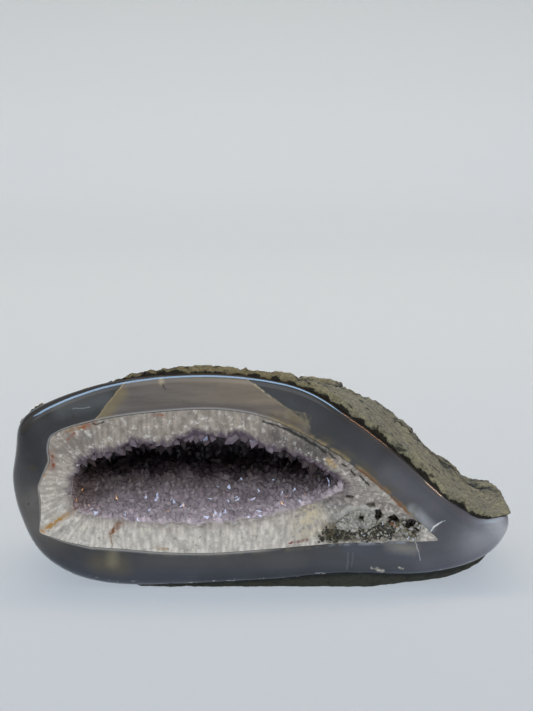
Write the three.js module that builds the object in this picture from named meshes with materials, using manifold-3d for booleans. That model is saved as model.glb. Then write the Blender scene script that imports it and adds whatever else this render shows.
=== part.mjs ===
// Half of an amethyst geode, sawn open, polished on its cut face and standing upright on a flat base.
// Millimetres. +Z is up, +X runs along the stone and the cut face looks towards -Y.
// Three layers grew one inside the other: a basalt rind, an agate band and a quartz lining with
// amethyst points round an open cavity.
import * as THREE from "three";
import { mergeVertices } from "three/addons/utils/BufferGeometryUtils.js";
import Module from "manifold-3d";

const wasm = await Module();
wasm.setup();

// Driving dimensions

// Edges on the cut face as [x, z], each a smooth closed curve.
const AGATE_EDGE = [
  [-126, 60], [-123.5, 71], [-121.5, 87], [-111, 95], [-79, 107], [-45, 112], [-10, 111.5],
  [22, 104.5], [49, 87], [73, 67.5], [95, 47.5], [106, 40], [113.5, 37], [120, 38.2], [125, 39.6],
  [127, 37.5], [126.6, 32], [123.4, 25], [118.8, 19.3], [112, 15], [104.5, 12], [97, 9.9], [86, 8], [72, 7.2],
  [40, 7.6], [5, 4.3], [-40, 2.8], [-84, 4.5], [-104.5, 13], [-116, 25], [-123.5, 41],
];
const QUARTZ_EDGE = [
  [-105.5, 68], [-106, 80], [-84, 89], [-45, 94.5], [-18, 95], [5, 90], [39, 71.5], [79, 37.5],
  [88.5, 28], [78, 26], [40, 25], [5, 22], [-30, 19.7], [-65, 21.5], [-107, 29], [-111.5, 49],
];
const MOUTH_EDGE = [
  [-95.5, 52], [-89, 69], [-63, 80], [-38, 81], [14, 74], [41.5, 55.5], [22, 45], [-12, 36.5],
  [-46, 35.5], [-81, 39], [-93, 43],
];

// Lines that the layers are measured outwards from. The outer one falls towards the stone's right tip.
const OUTER_SPINE = { left: -78, right: 98, z: 57, fall: 30, fallFrom: 10 };
const INNER_SPINE = { left: -78, right: 24, z: 57, fall: 0, fallFrom: 0 };

// How far each layer reaches behind the cut face, and how square its side is (2 is an ellipse).
const DEPTH = { agate: 80, quartz: 64, cavity: 50 };
const SQUARENESS = { outside: 2.7, inside: 2.2 };

// x where the top of the stone begins, where it turns into the right-hand slope and where the tip is
const TOP = { from: -85, to: -60 };
const SLOPE = { from: 0, to: 60 };
const TIP = { from: 80, to: 112 };

// Rind thickness. It also thickens towards the back, in bumps.
const RIND = { shoulder: 0.8, top: 3, slope: 5.5, tip: 4.8, under: 4, rightEnd: 1, leftEnd: 1 };
const ROUGH = { extraAtBack: 3, bump: 2.2 };
const BUMP_WAVES = [[62, 95, 140], [-85, 58, 70], [120, -74, 48]]; // wave lengths along x, y and z

// Radius of the polished lip round the cut face, and how far behind the lip the rind begins.
const LIP = { side: 5, rightEnd: 10, leftEnd: 8 };
const BARE = { side: 0.6, rightEnd: 20, leftEnd: 7 };
const UNDER_TIP = { from: 0.3, to: 0.7 }; // how steeply down a ray points where the rind comes forward again

// Behind the lip the top falls away, the slope swells and the underside drops below the base cut.
const SAG = { topFall: 14, slopeSwell: 4, tipSwell: 1.9, baseDrop: 12, fullAt: 45, innerShare: 0.35 };

const GAP = 0.3; // clearance between layers
const AGATE_FOOT = 2.3; // the agate stays this far above the base, so the stone rests on its rind
const CRYSTAL = { least: 1.6, most: 4.2 }; // height of the points on the cavity wall

// Small pits in the quartz to the right of the mouth: place on the cut face, width and depth.
const PITS = [
  { x: 41, z: 39.5, width: 5, depth: 8 },
  { x: 55, z: 39, width: 4, depth: 7 },
  { x: 67, z: 37, width: 6, depth: 8 },
  { x: 75.5, z: 33.5, width: 7, depth: 8 },
];
const PIT_SIDES = 5;

// Fineness of the skins
const STATIONS = { outside: 76, inside: 68 }; // points round each ring
const STEPS = { lip: 3, rind: 9, agate: 8, quartz: 7, cavity: 8 };
const OUTLINE_SAMPLES = 600;
const LAST_RING = 0.94; // share of the quarter turn to the back where a flat cap closes a layer
const LEAST_REACH = 0.5;
const HIDDEN = { deep: 0.5, edge: 0.8 }; // share of the agate's reach where the nodule ends inside it
const BEYOND = 2; // how far a cutting solid stands past what it cuts
const HALF_SPACE = 1000; // side of a block that stands for everything on one side of a plane

// Rays from a spine through an edge

const { clamp, lerp, smoothstep } = THREE.MathUtils;

const closedCurve = (edge) =>
  new THREE.CatmullRomCurve3(edge.map(([x, z]) => new THREE.Vector3(x, 0, z)), true, "centripetal");

function raysThrough(edge, spine, count) {
  const points = closedCurve(edge).getSpacedPoints(count).slice(1);
  return points.map((point) => {
    const x = clamp(point.x, spine.left, spine.right);
    const z = spine.z - spine.fall * smoothstep(x, spine.fallFrom, spine.right);
    const focus = new THREE.Vector2(x, z);
    const way = new THREE.Vector2(point.x, point.z).sub(focus).normalize();
    return { focus, way, x: point.x };
  });
}

const OUTER_RAYS = raysThrough(AGATE_EDGE, OUTER_SPINE, STATIONS.outside);
const INNER_RAYS = raysThrough(QUARTZ_EDGE, INNER_SPINE, STATIONS.inside);

// Distance from a ray's focus to an outline, along the ray.
function reach(ray, outline) {
  for (let i = 0; i < outline.length - 1; i++) {
    const from = new THREE.Vector2(outline[i].x, outline[i].z).sub(ray.focus);
    const side = new THREE.Vector2(outline[i + 1].x, outline[i + 1].z).sub(ray.focus).sub(from);
    const turn = ray.way.cross(side);
    const along = from.cross(side) / turn;
    const aside = from.cross(ray.way) / turn;
    if (along > 0 && aside >= 0 && aside <= 1) return along;
  }
  throw new Error("a ray misses an edge");
}

function reaches(rays, edge) {
  const outline = closedCurve(edge).getPoints(OUTLINE_SAMPLES);
  return rays.map((ray) => reach(ray, outline));
}
const AGATE_REACH = reaches(OUTER_RAYS, AGATE_EDGE);
const QUARTZ_REACH = reaches(INNER_RAYS, QUARTZ_EDGE);
const MOUTH_REACH = reaches(INNER_RAYS, MOUTH_EDGE);

function pointOn(ray, along, y) {
  return new THREE.Vector3(ray.focus.x + ray.way.x * along, y, ray.focus.y + ray.way.y * along);
}

// Shape of the stone behind the cut face

const share = ({ x }, { from, to }) => smoothstep(x, from, to);

// A value along the sides of the stone that blends into others at its two ends.
// The right end's own value stops short of its top.
function blendToEnds(side, { rightEnd, leftEnd }, { way }) {
  const facing = smoothstep(Math.abs(way.x), 0, 1);
  if (way.x < 0) return lerp(side, leftEnd, facing);
  return lerp(side, rightEnd, facing * (1 - smoothstep(way.y, 0, 0.8)));
}

const lipRadius = (ray) => blendToEnds(LIP.side, LIP, ray);

// Under the tip the rind begins close behind the lip, as it does along the sides.
function rindEdgeY(ray) {
  const under = ray.way.x > 0 ? smoothstep(-ray.way.y, UNDER_TIP.from, UNDER_TIP.to) : 0;
  return lipRadius(ray) + lerp(blendToEnds(BARE.side, BARE, ray), BARE.side, under);
}

function rindThickness(ray) {
  if (ray.way.y < 0) return blendToEnds(RIND.under, RIND, ray);
  const top = lerp(RIND.shoulder, RIND.top, share(ray, TOP));
  const slope = lerp(RIND.slope, RIND.tip, share(ray, TIP));
  return blendToEnds(lerp(top, slope, share(ray, SLOPE)), RIND, ray);
}

// How much nearer the spine the stone's skin is, at a depth behind the lip.
function sag(ray, behind) {
  const grown = Math.sin(clamp(behind / SAG.fullAt, 0, 1) * (Math.PI / 2));
  const swell = lerp(SAG.slopeSwell, SAG.tipSwell, share(ray, TIP)) * share(ray, SLOPE);
  const fall = ray.way.y > 0 ? SAG.topFall * (1 - share(ray, SLOPE)) : SAG.baseDrop;
  return (fall * ray.way.y - swell * smoothstep(ray.way.y, -0.4, 0.6)) * grown;
}

// Slow bumps of the rough rind, from -1 to 1.
function bump({ x, y, z }) {
  const waves = BUMP_WAVES.map(([a, b, c]) => Math.sin(2 * Math.PI * (x / a + y / b + z / c)));
  return waves.reduce((sum, wave) => sum + wave) / waves.length;
}

// Rings from the front of a layer to its back. reachAt(ray, i, shrink, y) places a point on its ray.
function backRings(rays, steps, squareness, frontY, depth, reachAt) {
  return Array.from({ length: steps + 1 }, (_, k) => {
    const turn = (k / steps) * LAST_RING * (Math.PI / 2);
    const shrink = Math.cos(turn) ** (2 / squareness);
    const back = Math.sin(turn) ** (2 / squareness);
    return rays.map((ray, i) => {
      const y = lerp(frontY(ray), depth, back);
      return pointOn(ray, Math.max(LEAST_REACH, reachAt(ray, i, shrink, y)), y);
    });
  });
}

// Solids

// Triangles that fill a flat ring.
function capTriangles(ring) {
  const outline = ring.map((p) => new THREE.Vector2(p.x, p.z));
  return THREE.ShapeUtils.triangulateShape(outline, []).map(([a, b, c]) => {
    const turn = outline[b].clone().sub(outline[a]).cross(outline[c].clone().sub(outline[a]));
    return turn > 0 ? [a, b, c] : [a, c, b];
  });
}

// A closed skin over rings of equal count. The first and the last ring are flat, and are capped.
// peak(ring, station, corners) gives a point that is raised in the middle of a cell, for crystals.
function loft(rings, peak = () => null) {
  const points = rings.flat();
  const count = rings[0].length;
  const index = [];
  const at = (k, i) => k * count + (i % count);
  for (let k = 0; k < rings.length - 1; k++) {
    for (let i = 0; i < count; i++) {
      const cell = [at(k, i), at(k, i + 1), at(k + 1, i + 1), at(k + 1, i)];
      const apex = peak(k, i, cell.map((c) => points[c]));
      if (apex) {
        points.push(apex);
        cell.forEach((c, n) => index.push(c, cell[(n + 1) % cell.length], points.length - 1));
      } else {
        index.push(cell[0], cell[1], cell[2], cell[0], cell[2], cell[3]);
      }
    }
  }
  const last = rings.length - 1;
  capTriangles(rings[0]).forEach(([a, b, c]) => index.push(at(0, a), at(0, b), at(0, c)));
  capTriangles(rings[last]).forEach(([a, b, c]) => index.push(at(last, a), at(last, c), at(last, b)));
  return new THREE.BufferGeometry().setFromPoints(points).setIndex(index);
}

function solid(geometry) {
  const bare = geometry.clone();
  bare.deleteAttribute("normal");
  bare.deleteAttribute("uv");
  const merged = mergeVertices(bare);
  const triVerts = new Uint32Array(merged.index.array);
  return new wasm.Manifold(
    new wasm.Mesh({ numProp: 3, vertProperties: merged.attributes.position.array, triVerts }),
  );
}

const block = () => new THREE.BoxGeometry(HALF_SPACE, HALF_SPACE, HALF_SPACE);
const above = (z) => solid(block().translate(0, 0, z + HALF_SPACE / 2));
const behindCutFace = () => solid(block().translate(0, HALF_SPACE / 2, 0));

// The agate's outside: flat cut face, rounded lip and back, grown by a clearance.
function agateEnvelope(clearance) {
  const lipRing = (share) => {
    const turn = share * (Math.PI / 2);
    return OUTER_RAYS.map((ray, i) => {
      const inward = lipRadius(ray) * (1 - Math.sin(turn));
      const y = lipRadius(ray) * (1 - Math.cos(turn)) - clearance;
      return pointOn(ray, AGATE_REACH[i] + clearance - inward, y);
    });
  };
  const front = Array.from({ length: STEPS.lip }, (_, k) => lipRing(k / STEPS.lip));
  const back = backRings(
    OUTER_RAYS,
    STEPS.agate,
    SQUARENESS.outside,
    lipRadius,
    DEPTH.agate + clearance,
    (ray, i, shrink, y) => AGATE_REACH[i] * shrink + clearance - sag(ray, y - lipRadius(ray)),
  );
  return solid(loft([...front, ...back])).intersect(above(AGATE_FOOT - clearance));
}

// The nodule behind the lip, rough on its outside and sawn flat underneath. Its front is hollow.
function nodule() {
  const hollow = [
    OUTER_RAYS.map((ray, i) => pointOn(ray, AGATE_REACH[i] * HIDDEN.deep, DEPTH.agate / 2)),
    OUTER_RAYS.map((ray, i) => pointOn(ray, AGATE_REACH[i] * HIDDEN.edge, rindEdgeY(ray))),
  ];
  const skin = backRings(
    OUTER_RAYS,
    STEPS.rind,
    SQUARENESS.outside,
    rindEdgeY,
    DEPTH.agate + GAP + RIND.top + ROUGH.extraAtBack,
    (ray, i, shrink, y) => {
      const behind = y - rindEdgeY(ray);
      const thick = rindThickness(ray) + ROUGH.extraAtBack * smoothstep(behind, 0, DEPTH.agate);
      const along = AGATE_REACH[i] * shrink + GAP + thick - sag(ray, y - lipRadius(ray));
      const rough = ROUGH.bump * smoothstep(behind, 0, SAG.fullAt);
      return along + rough * bump(pointOn(ray, along, y));
    },
  );
  return solid(loft([...hollow, ...skin])).intersect(above(0));
}

// A bowl behind an edge on the cut face, shrunk by a clearance. It stands past the cut face.
function bowl(edgeReach, steps, depth, clearance, peak) {
  const rings = backRings(
    INNER_RAYS,
    steps,
    SQUARENESS.inside,
    () => 0,
    depth - clearance,
    (ray, i, shrink, y) => {
      const fall = ray.way.y > 0 ? SAG.innerShare * sag(ray, y) : 0;
      return edgeReach[i] * shrink - clearance - fall;
    },
  );
  const past = rings[0].map((p) => new THREE.Vector3(p.x, -BEYOND, p.z));
  return solid(loft([past, ...rings], peak));
}

// A number from 0 to 1 that looks random from one cell of the cavity wall to the next.
function scatter(k, i) {
  const point = new THREE.Vector2(k + 1, i + 1);
  return Math.abs(Math.sin(point.dot(new THREE.Vector2(12.9898, 78.233))) * 43758.5453) % 1;
}

// A short crystal point in the middle of a cell of the cavity wall, aimed into the cavity.
function crystalPoint(k, i, corners) {
  const inFrontOfFace = k === 0;
  if (inFrontOfFace) return null;
  const middle = corners.reduce((sum, p) => sum.add(p), new THREE.Vector3()).divideScalar(corners.length);
  const across = corners[2].clone().sub(corners[0]);
  const other = corners[3].clone().sub(corners[1]);
  const inward = across.cross(other).normalize();
  if (inward.dot(pointOn(INNER_RAYS[i], 0, 0).sub(middle)) < 0) inward.negate();
  return middle.addScaledVector(inward, lerp(CRYSTAL.least, CRYSTAL.most, scatter(k, i)));
}

// A pit that narrows from the cut face into the quartz.
function pit({ x, z, width, depth }) {
  const cone = new THREE.ConeGeometry(width / 2, depth + BEYOND, PIT_SIDES);
  return solid(cone.translate(x, (depth - BEYOND) / 2, z));
}

const agate = agateEnvelope(0).subtract(bowl(QUARTZ_REACH, STEPS.quartz, DEPTH.quartz, 0));
const rind = nodule().subtract(agateEnvelope(GAP));
const hollowed = bowl(QUARTZ_REACH, STEPS.quartz, DEPTH.quartz, GAP)
  .intersect(behindCutFace())
  .subtract(bowl(MOUTH_REACH, STEPS.cavity, DEPTH.cavity, 0, crystalPoint));
const druse = PITS.reduce((stone, place) => stone.subtract(pit(place)), hollowed);

// Scene graph

function piece(name, shape, material) {
  const { vertProperties, triVerts } = shape.getMesh();
  const geometry = new THREE.BufferGeometry();
  geometry.setAttribute("position", new THREE.BufferAttribute(vertProperties, 3));
  geometry.setIndex(new THREE.BufferAttribute(triVerts, 1));
  geometry.computeVertexNormals();
  const mesh = new THREE.Mesh(geometry, new THREE.MeshStandardMaterial(material));
  mesh.name = name;
  return mesh;
}

const geode = new THREE.Group();
geode.add(piece("basalt_rind", rind, { color: 0x7f7b6a, roughness: 0.95, metalness: 0 }));
geode.add(piece("agate_band", agate, { color: 0x55575e, roughness: 0.12, metalness: 0 }));
geode.add(piece("amethyst_druse", druse, { color: 0xa39ca4, roughness: 0.3, metalness: 0 }));

// The origin is under the middle of the stone, on the surface that it stands on.
const box = new THREE.Box3().setFromObject(geode);
const middle = box.getCenter(new THREE.Vector3());
geode.position.set(-middle.x, -middle.y, -box.min.z);

export default geode;
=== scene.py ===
"""The looks of half an amethyst geode, sawn open, polished on its cut face and standing on its flat base.

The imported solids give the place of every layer. Each layer is measured off them with rays and made again
as a fine skin with its own relief, and the crystals are set on the cavity wall one by one.
Metres, +Z up. The cut face looks towards -Y.
"""

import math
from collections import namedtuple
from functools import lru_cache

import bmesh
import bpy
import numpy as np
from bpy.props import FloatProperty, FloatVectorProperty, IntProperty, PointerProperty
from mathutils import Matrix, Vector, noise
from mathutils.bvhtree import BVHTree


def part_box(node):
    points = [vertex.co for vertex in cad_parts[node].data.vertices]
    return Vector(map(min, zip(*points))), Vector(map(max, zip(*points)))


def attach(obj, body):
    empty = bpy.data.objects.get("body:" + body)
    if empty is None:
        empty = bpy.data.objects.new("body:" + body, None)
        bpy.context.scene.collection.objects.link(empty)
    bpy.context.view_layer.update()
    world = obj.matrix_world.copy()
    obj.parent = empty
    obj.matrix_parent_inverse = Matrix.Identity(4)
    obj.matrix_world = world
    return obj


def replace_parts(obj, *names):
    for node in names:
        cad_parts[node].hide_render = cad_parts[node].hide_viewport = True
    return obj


bl_info = {
    "name": "Amethyst geode half",
    "version": (1, 0, 0),
    "blender": (4, 5, 0),
    "location": "View3D > Sidebar > Geode",
    "description": "Builds the rind, agate, quartz and amethyst of a sawn geode half",
    "category": "Object",
}

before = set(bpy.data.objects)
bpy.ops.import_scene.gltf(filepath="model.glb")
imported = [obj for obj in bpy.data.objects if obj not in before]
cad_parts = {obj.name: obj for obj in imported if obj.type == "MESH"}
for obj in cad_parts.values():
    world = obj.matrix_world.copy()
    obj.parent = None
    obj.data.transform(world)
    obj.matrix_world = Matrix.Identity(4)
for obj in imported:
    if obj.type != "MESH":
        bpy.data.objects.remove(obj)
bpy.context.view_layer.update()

MM = 0.001
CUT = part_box("agate_band")[0].y  # plane of the cut face
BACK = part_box("basalt_rind")[1].y - CUT  # depth of the whole stone behind the cut face


def mm(*lengths):
    """Lengths given in millimetres, in metres."""
    return tuple(length * MM for length in lengths)


# Rays and rings

# Lines that the layers are measured outwards from. The outer one falls towards the stone's right tip.
Spine = namedtuple("Spine", "left right z fall fall_from")
OUTER_SPINE = Spine(left=-79 * MM, right=97 * MM, z=57 * MM, fall=30 * MM, fall_from=9 * MM)
INNER_SPINE = Spine(left=-79 * MM, right=23 * MM, z=57 * MM, fall=0, fall_from=0)
Rays = namedtuple("Rays", "focus way")

LOOKS = 220  # rays in each quarter of a first look round a spine
FAR = 300 * MM  # a start outside the stone
SKIM = 0.02 * MM  # just behind the cut face
RAY_DEPTH = 6 * MM  # depth at which the outer rays are spread evenly
TINY = 1e-12  # keeps a length from being zero
OUTER_STATIONS = 600
INNER_STATIONS = 560
FACET_SPREAD = 3.0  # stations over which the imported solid's flat facets are evened out


def smoothstep(value, low, high):
    share = np.clip((value - low) / (high - low), 0, 1)
    return share * share * (3 - 2 * share)


def mix(a, b, share):
    return a + (b - a) * share


def focus_on(spine, x):
    x = np.clip(x, spine.left, spine.right)
    z = spine.z - spine.fall * smoothstep(x, spine.fall_from, spine.right)
    return np.stack([x, np.zeros_like(x), z], axis=1)


def fan(spine):
    """Rays all round a spine: up along it, round its right end, down along it and round its left end."""
    along = np.linspace(0, 1, LOOKS, endpoint=False)
    still = np.zeros(LOOKS)
    x = [mix(spine.left, spine.right, along), still + spine.right]
    x += [mix(spine.right, spine.left, along), still + spine.left]
    quarter = math.pi / 2
    angle = [still + quarter, quarter - along * math.pi, still - quarter, -quarter - along * math.pi]
    turn = np.concatenate(angle)
    way = np.stack([np.cos(turn), np.zeros_like(turn), np.sin(turn)], axis=1)
    return Rays(focus_on(spine, np.concatenate(x)), way)


@lru_cache(maxsize=None)
def tree_of(node):
    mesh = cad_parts[node].data
    return BVHTree.FromPolygons([v.co for v in mesh.vertices], [tuple(p.vertices) for p in mesh.polygons])


def reach(node, rays, depth, inside=False):
    """How far from each ray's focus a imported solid's surface lies, met from outside or from inside."""
    tree = tree_of(node)
    depths = np.broadcast_to(depth, len(rays.focus))
    found = np.full(len(rays.focus), np.nan)
    for i, (focus, way) in enumerate(zip(rays.focus, rays.way)):
        start = Vector(focus) + Vector((0, CUT + depths[i], 0))
        ahead = Vector(way)
        if inside:
            distance = tree.ray_cast(start, ahead)[3]
        else:
            distance = tree.ray_cast(start + ahead * FAR, -ahead)[3]
        if distance is not None:
            found[i] = distance if inside else FAR - distance
    return found


def smooth_round(values, spread=FACET_SPREAD):
    """A ring's values, evened out along the ring."""
    keep = np.exp(-2 * (np.pi * spread * np.fft.rfftfreq(len(values))) ** 2)
    waves = np.fft.rfft(values, axis=0)
    return np.fft.irfft(waves * keep.reshape(-1, *[1] * (values.ndim - 1)), n=len(values), axis=0)


def even(points, count):
    """A closed line with its points evenly spaced, from the same start."""
    closed = np.vstack([points, points[:1]])
    run = np.concatenate([[0], np.cumsum(np.linalg.norm(np.diff(closed, axis=0), axis=1))])
    at = np.linspace(0, run[-1], count, endpoint=False)
    return np.stack([np.interp(at, run, closed[:, k]) for k in range(3)], axis=1)


def rays_through(node, spine, depth, count, inside):
    first = fan(spine)
    far = reach(node, first, depth, inside)
    points = smooth_round(even(first.focus + first.way * far[:, None], count))
    focus = focus_on(spine, points[:, 0])
    way = points - focus
    return Rays(focus, way / np.linalg.norm(way, axis=1, keepdims=True))


@lru_cache(maxsize=None)
def outer_rays():
    return rays_through("agate_band", OUTER_SPINE, RAY_DEPTH, OUTER_STATIONS, False)


@lru_cache(maxsize=None)
def inner_rays():
    return rays_through("agate_band", INNER_SPINE, SKIM, INNER_STATIONS, True)


def place(rays, far, depth):
    points = rays.focus + rays.way * far[:, None]
    points[:, 1] = CUT + depth
    return points


def resampled(rows, count):
    """Rows of points with their spacing evened out along each station, from the first row to the last."""
    step = np.linalg.norm(np.diff(rows, axis=0), axis=2)
    run = np.concatenate([np.zeros((1, rows.shape[1])), np.cumsum(step, axis=0)])
    made = np.empty((count, *rows.shape[1:]))
    for i in range(rows.shape[1]):
        at = np.linspace(0, run[-1, i], count)
        for k in range(3):
            made[:, i, k] = np.interp(at, run[:, i], rows[:, i, k])
    return made


def normals_of(rows, towards=None):
    """Unit normals of a grid of rings. They point away from the stone's middle, or towards given points."""
    round_it = np.roll(rows, -1, axis=1) - np.roll(rows, 1, axis=1)
    made = np.cross(round_it, np.gradient(rows, axis=0))
    made /= np.maximum(np.linalg.norm(made, axis=2, keepdims=True), TINY)
    middle = rows.mean(axis=(0, 1)) if towards is None else towards
    side = np.sign(np.sum(made * (rows - middle), axis=2).mean())
    return made * (side if towards is None else -side)


def field(points, size, octaves=3):
    """Fractal noise from about -1 to 1 at each point, with features of a real size."""
    flat = points.reshape(-1, 3) / size
    made = [noise.fractal(Vector(p), 1.0, 2.0, octaves, noise_basis="PERLIN_ORIGINAL") for p in flat]
    return np.array(made).reshape(points.shape[:-1])


def cells(points, size):
    """Distance to the nearest of randomly placed seeds, 0 at a seed, in cells of a real size."""
    flat = points.reshape(-1, 3) / size
    return np.array([noise.voronoi(Vector(p))[0][0] for p in flat]).reshape(points.shape[:-1])


# Meshes

SHARP = math.radians(40)
SAME_PLACE = 1e-7


def skin(rows, marks):
    """A closed bmesh over rings of points: a grid bent round them, sewn along its seam and capped."""
    rings, stations = rows.shape[:2]
    bm = bmesh.new()
    bmesh.ops.create_grid(bm, x_segments=stations, y_segments=rings - 1, size=1)
    layers = {}
    for name, values in marks.items():
        kind = bm.verts.layers.float_vector if values.ndim == 3 else bm.verts.layers.float
        layers[name] = kind.new(name)
    for index, vert in enumerate(bm.verts):
        ring, station = divmod(index, stations + 1)
        station %= stations
        vert.co = rows[ring, station]
        for name, layer in layers.items():
            vert[layer] = marks[name][ring, station]
    bmesh.ops.remove_doubles(bm, verts=bm.verts, dist=SAME_PLACE)
    bmesh.ops.holes_fill(bm, edges=bm.edges, sides=0)
    bmesh.ops.recalc_face_normals(bm, faces=bm.faces)
    return bm


def make_piece(name, bm, material, smooth=True):
    if not bm.faces:
        raise RuntimeError(f"{name} has no faces")
    for face in bm.faces:
        face.smooth = smooth
    for edge in bm.edges:
        edge.smooth = smooth and edge.calc_face_angle(0) < SHARP
    mesh = bpy.data.meshes.new(name)
    bm.to_mesh(mesh)
    bm.free()
    mesh.materials.append(material)
    piece = bpy.data.objects.new(name, mesh)
    bpy.context.scene.collection.objects.link(piece)
    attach(piece, "root")
    return piece


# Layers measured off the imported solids

LIP_INWARD = 0.9  # the lip's size across the face and behind it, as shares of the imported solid's lip
LIP_BEHIND = 1.05
LIP_POWER = 1.9  # 2 is a round lip and 1 a flat chamfer
LIP_SPREAD = 14  # stations over which the lip's size changes from the sides to the ends
LIP_ROWS = 14
LOW_LEFT_DROP = 1.8 * MM  # how far the lip comes down towards the base at the lower left
LOW_LEFT_X = mm(-65, -5)  # the drop fades out from the first x to the second
LOW_LEFT_DOWN = (0.4, 0.8)  # and comes in with the share of a ray that points down
LIP_DEEPEST = (6, 12)  # depths in millimetres where the lip ends at most, at the sides and at the ends
BOUNDARY_SPREAD = 1.5  # stations over which the boundary of the quartz is evened out
CORNER_SPREAD = 0.8  # stations over which its two corners are rounded
SHIFT_SPREAD = 6  # stations over which a shift along a ring is evened out
SHIFT_SHARE = 0.92  # share of the whole shift to the nearest point
FACE_ROWS = 16
SIDE_ROWS = 22
WALL_DEPTHS = np.array([63, 61, 56, 48, 38, 26, 14, 5, 1.2]) * MM
AGATE_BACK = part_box("agate_band")[1].y - CUT
LAST_SHARE = 0.999


@lru_cache(maxsize=None)
def lip():
    """Where the agate's flat face ends, where its lip ends and how deep the lip is, at each station."""
    rays = outer_rays()
    face = reach("agate_band", rays, SKIM)
    deepest = mix(*LIP_DEEPEST, np.abs(rays.way[:, 0]))
    depths = range(1, LIP_DEEPEST[1] + 1)
    found = [np.where(depth <= deepest, reach("agate_band", rays, depth * MM), np.nan) for depth in depths]
    edge = smooth_round(np.nanmax(found, axis=0))
    left = 1 - smoothstep(place(rays, edge, 0)[:, 0], *LOW_LEFT_X)
    edge = edge + LOW_LEFT_DROP * left * smoothstep(-rays.way[:, 2], *LOW_LEFT_DOWN)
    size = smooth_round(edge - face, LIP_SPREAD)
    return edge - size * LIP_INWARD, edge, size * LIP_BEHIND


# Lines on the cut face, in millimetres, that give the boundary of the quartz its two sharp corners
LEFT_CORNER = ((-107.1, 67.6), (-110.2, 61), (-112.8, 54.8), (-112, 46), (-112.4, 38), (-113.3, 30.7),
               (-101, 26.2), (-86, 22.6))
RIGHT_CORNER = ((68.4, 45.4), (77.5, 37.8), (85.4, 30.4), (89.6, 26.5), (77.8, 25.9), (62, 26.6))


def met(rays, line):
    """How far along each ray a line on the cut face is met. Rays that miss it give NaN."""
    found = np.full(len(rays.focus), np.nan)
    start, way = rays.focus[:, [0, 2]], rays.way[:, [0, 2]]
    for a, b in zip(line, line[1:]):
        a, along = np.array(a) * MM, (np.array(b) - np.array(a)) * MM
        cross = way[:, 0] * along[1] - way[:, 1] * along[0]
        offset = a - start
        far = (offset[:, 0] * along[1] - offset[:, 1] * along[0]) / cross
        share = (offset[:, 0] * way[:, 1] - offset[:, 1] * way[:, 0]) / cross
        found = np.where((share >= 0) & (share <= 1) & (far > 0), far, found)
    return found


@lru_cache(maxsize=None)
def quartz_edge(clearance):
    """How far the quartz reaches on the cut face, with its two sharp corners."""
    rays = inner_rays()
    edge = smooth_round(reach("agate_band", rays, SKIM, True), BOUNDARY_SPREAD)
    for line in (LEFT_CORNER, RIGHT_CORNER):
        corner = met(rays, line)
        edge = np.where(np.isnan(corner), edge, corner)
    return smooth_round(edge, CORNER_SPREAD) - clearance


def quartz_wall(clearance):
    """Rings on the boundary between agate and quartz, from the back to the front."""
    rays = inner_rays()
    made = []
    for depth in WALL_DEPTHS:
        far = reach("agate_band", rays, depth, True)
        made.append(place(rays, smooth_round(far) - clearance, depth))
    return made


def nearest_shift(ring, other):
    """How many stations further along a ring its nearest point to each station of another ring lies."""
    count = len(ring)
    nearest = np.linalg.norm(other[:, None] - ring[None], axis=2).argmin(axis=1)
    steps = (nearest - np.arange(count) + count / 2) % count - count / 2
    return SHIFT_SHARE * smooth_round(steps, SHIFT_SPREAD)


def shifted(ring, shift):
    """A ring with each of its points moved along it by a number of stations."""
    count = len(ring)
    stations = np.arange(count)
    made = [np.interp(stations + shift, stations, ring[:, k], period=count) for k in range(3)]
    return np.stack(made, axis=1)


def agate_rows():
    """Rings of the agate from the back of its hollow, over the cut face and the lip, to its own back."""
    outer = outer_rays()
    inner = inner_rays()
    face, edge, behind = lip()
    outer_edge = place(outer, face, 0)
    inner_edge = even(place(inner, quartz_edge(0), 0), OUTER_STATIONS)
    shift = nearest_shift(inner_edge, outer_edge)
    inner_edge = shifted(inner_edge, shift)
    hidden = [shifted(even(ring, OUTER_STATIONS), shift) for ring in quartz_wall(0)]
    rows = hidden + [mix(inner_edge, outer_edge, k / FACE_ROWS) for k in range(FACE_ROWS + 1)]
    band = [0.0] * len(hidden) + [k / FACE_ROWS for k in range(FACE_ROWS + 1)]
    for k in range(1, LIP_ROWS + 1):
        turn = k / LIP_ROWS * math.pi / 2
        far = mix(face, edge, math.sin(turn) ** (2 / LIP_POWER))
        rows.append(place(outer, far, behind * (1 - math.cos(turn) ** (2 / LIP_POWER))))
        band.append(1 + k / LIP_ROWS)
    for k in range(1, SIDE_ROWS + 1):
        share = math.sin(k / SIDE_ROWS * math.pi / 2)
        depth = mix(behind, AGATE_BACK * LAST_SHARE, share)
        rows.append(place(outer, smooth_round(reach("agate_band", outer, depth)), depth))
        band.append(2.0)
    rows = np.array(rows)
    bands = np.repeat(np.array(band)[:, None], OUTER_STATIONS, axis=1)
    return rows, bands


RIND_ROWS = 128
RIND_PROFILE = 44
RIND_HIDDEN = 6
EDGE_ROWS = 6
BACK_SQUARENESS = 2.7
LAST_TURN = 0.94
CAP_SHARES = (0.8, 0.6, 0.4, 0.2, 0.04)
CLEAR = 0.15 * MM
THINNEST = 1.2 * MM  # the thinnest crust that still shows as a dark line
FRONT_ROUND = 0.8 * MM
PROBE = 0.7 * MM
LEFT_SETBACK = 9 * MM  # how much further back the crust begins at the stone's left end
FRONT_SPREAD = 9  # stations over which the crust's front goes back round the tip
TIP_SHRINK = 5.0 * MM  # how much the back of the crust's end over the tip is worn down
HEEL = (116, 10)  # middle of the dark heel under the tip, in millimetres
HEEL_SIZE = 7 * MM
HEEL_BULK = 4.5 * MM
FOOT_FRONT = 3.8 * MM  # depth at which the crust begins along the foot
TIP_FRONT = 2.8 * MM  # depth at which the crust still begins just above the tip
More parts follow.
